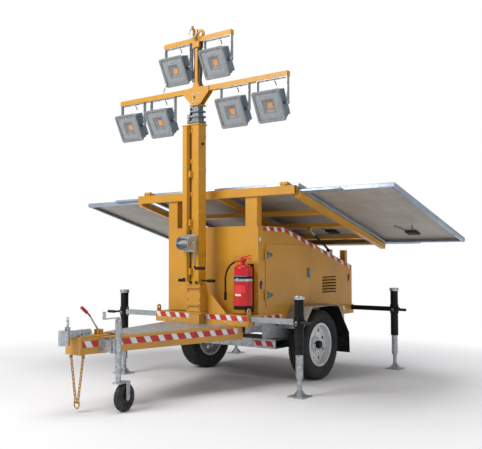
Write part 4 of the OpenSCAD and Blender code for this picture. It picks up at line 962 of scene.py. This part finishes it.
# ---- cabinet ----
for s, side in SIDES:
    body = "door_" + side[0]
    p = Piece("door_edge_" + side, "yellow_paint", body)
    for (xa, za), (xb, zb) in (((-163, 698), (-151, 1268)), ((600, 698), (612, 1268)),
                               ((-155, 698), (604, 710)), ((-155, 1256), (604, 1268))):
        p.box((xa, s * DOOR_Y, za), (xb, s * (DOOR_Y + 1.6), zb), 1.2)
    p.done()
    p = Piece("strap_hinges_" + side, "latch_alloy", body)
    for z in (808, 1168):
        outline = [(612, z - 34), (612, z + 34), (594, z + 34), (505, z + 9), (500, z), (505, z - 9),
                   (594, z - 34)]
        p.prism(outline, *sorted((s * (DOOR_Y + 0.5), s * (DOOR_Y + 4.5))), "y", 1.0)
        for x, dz in ((520, 0), (590, 18), (590, -18)):
            p.bolt((x, s * (DOOR_Y + 4), z + dz), (0, s, 0), 6, 3)
    p.done()
    p = Piece("louvres_" + side, "yellow_paint", "chassis")
    for k in range(5):
        z = 806 + k * 31
        blade = [(s * 533, z + 11), (s * 534, z + 13), (s * 543, z - 2), (s * 541, z - 4)]
        p.prism(blade, -664, -396, "x", 0.6)
    p.done()
    p = Piece("cabinet_bolts_" + side, "zinc", "chassis")
    for x in (-700, -930):
        for z in (720, 880):
            p.bolt((x, s * CABINET_Y, z), (0, s, 0), 6, 4)
    for x in (665, 706):
        for z in (700, 1000, 1400):
            p.bolt((x, s * (523 if s > 0 else CABINET_Y), z), (0, s, 0), 5, 3)
    p.done()

p = Piece("front_ribs", "yellow_paint", "chassis")
for k in range(13):
    p.box((720.5, 250 + k * 17, 1085), (723.5, 256 + k * 17, 1168), 1.2)
p.done()

# ---- extinguisher trim ----
EXT_AT = Matrix.Translation(V(EXT_X, EXT_Y, 0))


def band(p, r0, r1, a0, a1, z0, z1, steps=24):
    """Part of a thin tube round the z axis."""
    rows = []
    for i in range(steps + 1):
        t = math.radians(a0 + (a1 - a0) * i / steps)
        c, s = math.cos(t), math.sin(t)
        corners = ((r0 * c, r0 * s, z0), (r1 * c, r1 * s, z0), (r1 * c, r1 * s, z1), (r0 * c, r0 * s, z1))
        rows.append([p.bm.verts.new(q) for q in corners])
    for a, b in zip(rows, rows[1:]):
        for k in range(4):
            p.bm.faces.new((a[k], a[(k + 1) % 4], b[(k + 1) % 4], b[k]))
    p.bm.faces.new(rows[0])
    p.bm.faces.new(rows[-1])
    return p


SKIN, SKIN_TOP = 81.8, 82.6
band(Piece("extinguisher_band", "label_pale", "chassis", EXT_AT), SKIN, SKIN_TOP, -40, 60, 968, 986).done()
band(Piece("extinguisher_panel", "label_red", "chassis", EXT_AT), SKIN, SKIN_TOP, -30, 50, 838, 905).done()
band(Piece("extinguisher_note", "label_white", "chassis", EXT_AT), 82.4, 82.9, -22, 22, 812, 830).done()
p = band(Piece("extinguisher_strap", "zinc", "chassis", EXT_AT), 81.5, 84.2, -170, 170, 940, 965, 48)
p.box((80, -12, 938), (94, 12, 967), 2)
p.done()
p = Piece("extinguisher_gauge", "brass", "chassis", EXT_AT)
p.cyl((20, 0, 1008), (34, 0, 1008), 15, 14, bevel=1.5)
p.done()
p = Piece("extinguisher_gauge_face", "label_white", "chassis", EXT_AT)
p.cyl((33, 0, 1008), (34.6, 0, 1008), 12, seg=24)
p.done()

# ---- mast trim ----
for s, side in reversed(SIDES):
    p = Piece("mast_straps_" + side, "yellow_paint", "chassis")
    for z in (1180, 1560, 1940, 2250):
        p.box((862, s * 52.5, z - 22), (968, s * 55.5, z + 22), 1.2)
        for x in (878, 952):
            p.bolt((x, s * 55.5, z), (0, s, 0), 6, 4)
    p.done()
# A thin dark brown plate in the mast's front slot: painted shade, standing in for the shade inside the slot.
p = Piece("mast_slot_shadow", "painted_slot_shade", "chassis")
p.box((MAST_FACE + 0.3, -44, 950), (MAST_FACE + 1.6, -30, 2320), 0.3)
p.done()
p = Piece("mast_bridges", "yellow_paint", "chassis")
for z in (1010, 1420, 1720, 2020, 2300):
    p.box((MAST_FACE - 1, -52, z - 20), (MAST_FACE + 7, -22, z + 20), 1.5)
p.done()
p = Piece("mast_knobs", "black_rubber", "chassis")
for y in (-34, 34):
    p.cyl((MAST_FACE, y, 925), (MAST_FACE + 18, y, 925), 11, 13, bevel=2)
p.cyl((MAST_X, 52, 2180), (MAST_X, 66, 2180), 12, 14, bevel=2)
p.done()

# ---- head trim ----
p = Piece("hub_bolts", "zinc", "head")
for y in (-34, 34):
    for z in (2565, 2600, 2640):
        p.bolt((945.5, y, z), (1, 0, 0), 7, 4)
p.done()
p = Piece("hub_rod", "galvanised", "head")
p.sweep([(945, -359, 2784), (947, -385, 2740), (944, -402, 2705)], 5)
p.done()
w = Piece("head_welds", "yellow_paint", "head")
for s in (-1, 1):
    w.weld((938, s * 22, 2702), (938, s * 22, 2745), 2.2)
    w.weld((938, s * 25, 2700), (938, s * 145, 2697), 2.2)
w.done()
p = Piece("bar_end_caps", "black_rubber", "head")
for s in (-1, 1):
    p.box((895, s * 988, 2659), (935, s * 990.6, 2699), 0.8)
    p.box((895, s * 397, 3125), (935, s * 399.8, 3165), 0.8)
p.done()
p = Piece("bracket_bolts", "zinc", "head")
for y, z in LAMPS:
    top = z + 215
    for dy in (-60, 60):
        p.bolt((MAST_X, y + dy, top - 5), (0, 0, -1), 8, 6)
    for s in (-1, 1):
        p.cyl((MAST_X, y + s * 152, z), (MAST_X, y + s * 158, z), 22, 20, bevel=1)
p.done()
p = Piece("lamp_leads", "cable_black", "head")
for y, z in LAMPS:
    p.sweep([(892, y, z + 206), (880, y + 8, z + 190), (878, y + 12, z + 165)], 4)
p.done()

p = Piece("post_cables", "cable_black", "head")
for k, dy in enumerate((30, 38, -31, -39)):
    p.sweep([(918 - 9 * (k % 2), dy * 1.3, 3118), (914, dy * 1.15, 3040), (912, dy, 2940),
             (914, dy * 1.25, 2850), (916, dy * 1.1, 2760), (912, dy * 1.6, 2706)], 6.5)
p.done()
p = Piece("stage_cables", "cable_black", "head")
for k in range(4):
    x = 940 - 12 * k
    p.sweep([(x, -62 - (k % 2) * 5, 2528), (x - 2, -70, 2480), (x, -66, 2440), (x - 2, -70, 2400)], 5)
p.done()

# ---- winch ----
DRUM_CENTRE = (1076.5, 0, 1276)
ROPE_R, ROPE_ON = 3.1, 27  # the rope, and how far from the drum's axis it lies
p = Piece("winch_drum_rope", "steel_rope", "chassis")
for k in range(11):
    y = -48 + k * 7
    turns = [math.pi * 2 * m / 8 for m in range(8)]
    rope = [(ROPE_ON + ROPE_R * math.cos(t), y + ROPE_R * math.sin(t)) for t in turns]
    p.revolve(rope, 40, "y", DRUM_CENTRE)
p.done()

# ---- frame welds, bolts and flaps ----
w = Piece("frame_welds", "yellow_paint", "chassis")
for s in (-1, 1):
    w.weld((893, s * 70, 646), (893, s * 470, 646), 2.4)
    w.weld((868, s * 57, 647), (962, s * 57, 647), 3.2)
    w.weld((892, s * 392, 552), (892, s * 392, 640), 2.4)
w.done()
b = Piece("frame_bolts", "zinc", "chassis")
for s in (-1, 1):
    for x in (-700, -300, 100, 560):
        b.bolt((x, s * BASE_Y, 630 if x < 300 else 566), (0, s, 0), 9, 6)
    for y in (60, 300, 470):
        b.bolt((BASE_X, s * y, 575), (1, 0, 0), 8, 6)
b.done()
for s, side in SIDES:
    p = Piece("mudflap_" + side, "black_rubber", "chassis")
    p.prism([(-508, 395), (-502, 396), (-514, 202), (-520, 203)], s * 550, s * 770, "y", 0.8)
    p.done()
    p = Piece("guard_rolled_edge_" + side, "galvanised", "chassis")
    edge = [(366, 499), (283, 594), (202, 686), (-36, 686.5), (-274, 686), (-387, 544), (-499, 401)]
    p.sweep([(x, s * 772, z) for x, z in edge], 2.6, 8)
    p.done()

# ---- deck tread pattern ----
p = Piece("deck_tread", "galvanised", "chassis")
TREAD = Matrix.Diagonal((9, 2.6, 1.3, 1))
PITCH, DECK_Z, DECK_END, EDGE = 27, 554, 1888, 50
for i in range(36):
    for j in range(-14, 15):
        x, y = 905 + i * PITCH, j * PITCH + (i % 2) * PITCH / 2
        if abs(y) > rail_y(x) - EDGE or x > DECK_END:
            continue
        slant = 0.9 if (i + j) % 2 else -0.9
        m = Matrix.Translation((x, y, DECK_Z)) @ Matrix.Rotation(slant, 4, "Z") @ TREAD
        bmesh.ops.create_icosphere(p.bm, subdivisions=1, radius=1, matrix=m)
p.done()

# ---- batteries behind the doors ----
low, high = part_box("power_pack")
x0, y0, _ = back(low)
x1, y1, z1 = back(high)
p = Piece("battery_terminals", "brass", "chassis")
for i in range(4):
    for j in (0.2, 0.8):
        x, y = x0 + (x1 - x0) * (i + 0.5) / 4, y0 + (y1 - y0) * j
        hit, where, _, _ = NODES["power_pack"].ray_cast(
            NODES["power_pack"].matrix_world.inverted() @ V(x, y, z1 + 50), Vector((0, 0, -1)))
        if hit:
            top = where.z * 1000
            p.cyl((x, y, top), (x, y, top + 10), 9, 8, bevel=1)
p.done()

# ---- jacks ----
PIN_Z, PULL_RING_R = 612, 13
GUSSET = [(17, 9), (62, 9), (17, 62)]
for tag, x, s in (("fl", 833, 1), ("fr", 833, -1), ("rl", -1008, 1), ("rr", -1008, -1)):
    y = s * JACK_Y
    p = Piece("jack_cap_" + tag, "zinc", "arm_" + tag)
    p.cyl((x, y, 799), (x, y, 829), 47.5, 46.5, bevel=1.6)
    p.done()
    p = Piece("jack_pin_" + tag, "zinc", "arm_" + tag)
    for e in (-1, 1):
        p.cyl((x + e * 44.5, y, PIN_Z), (x + e * 52, y, PIN_Z), 8, seg=20, bevel=1.2)
    turns = [k * math.pi / 8 for k in range(16)]
    pull = [(x + 50, y + PULL_RING_R * math.sin(t), PIN_Z - 12 + PULL_RING_R * math.cos(t)) for t in turns]
    p.sweep(pull, 1.6, closed=True)
    p.done()
    p = Piece("foot_gussets_" + tag, "galvanised", "leg_" + tag)
    for k in range(4):
        m = Matrix.Translation((x, y, 0)) @ Matrix.Rotation(math.pi / 2 * k + math.pi / 4, 4, "Z")
        vs = [p.bm.verts.new(m @ Vector((u, t, v))) for t in (-2, 2) for u, v in GUSSET]
        for face in ((0, 1, 2), (5, 4, 3), (0, 3, 4, 1), (1, 4, 5, 2), (2, 5, 3, 0)):
            p.bm.faces.new([vs[i] for i in face])
    p.done()
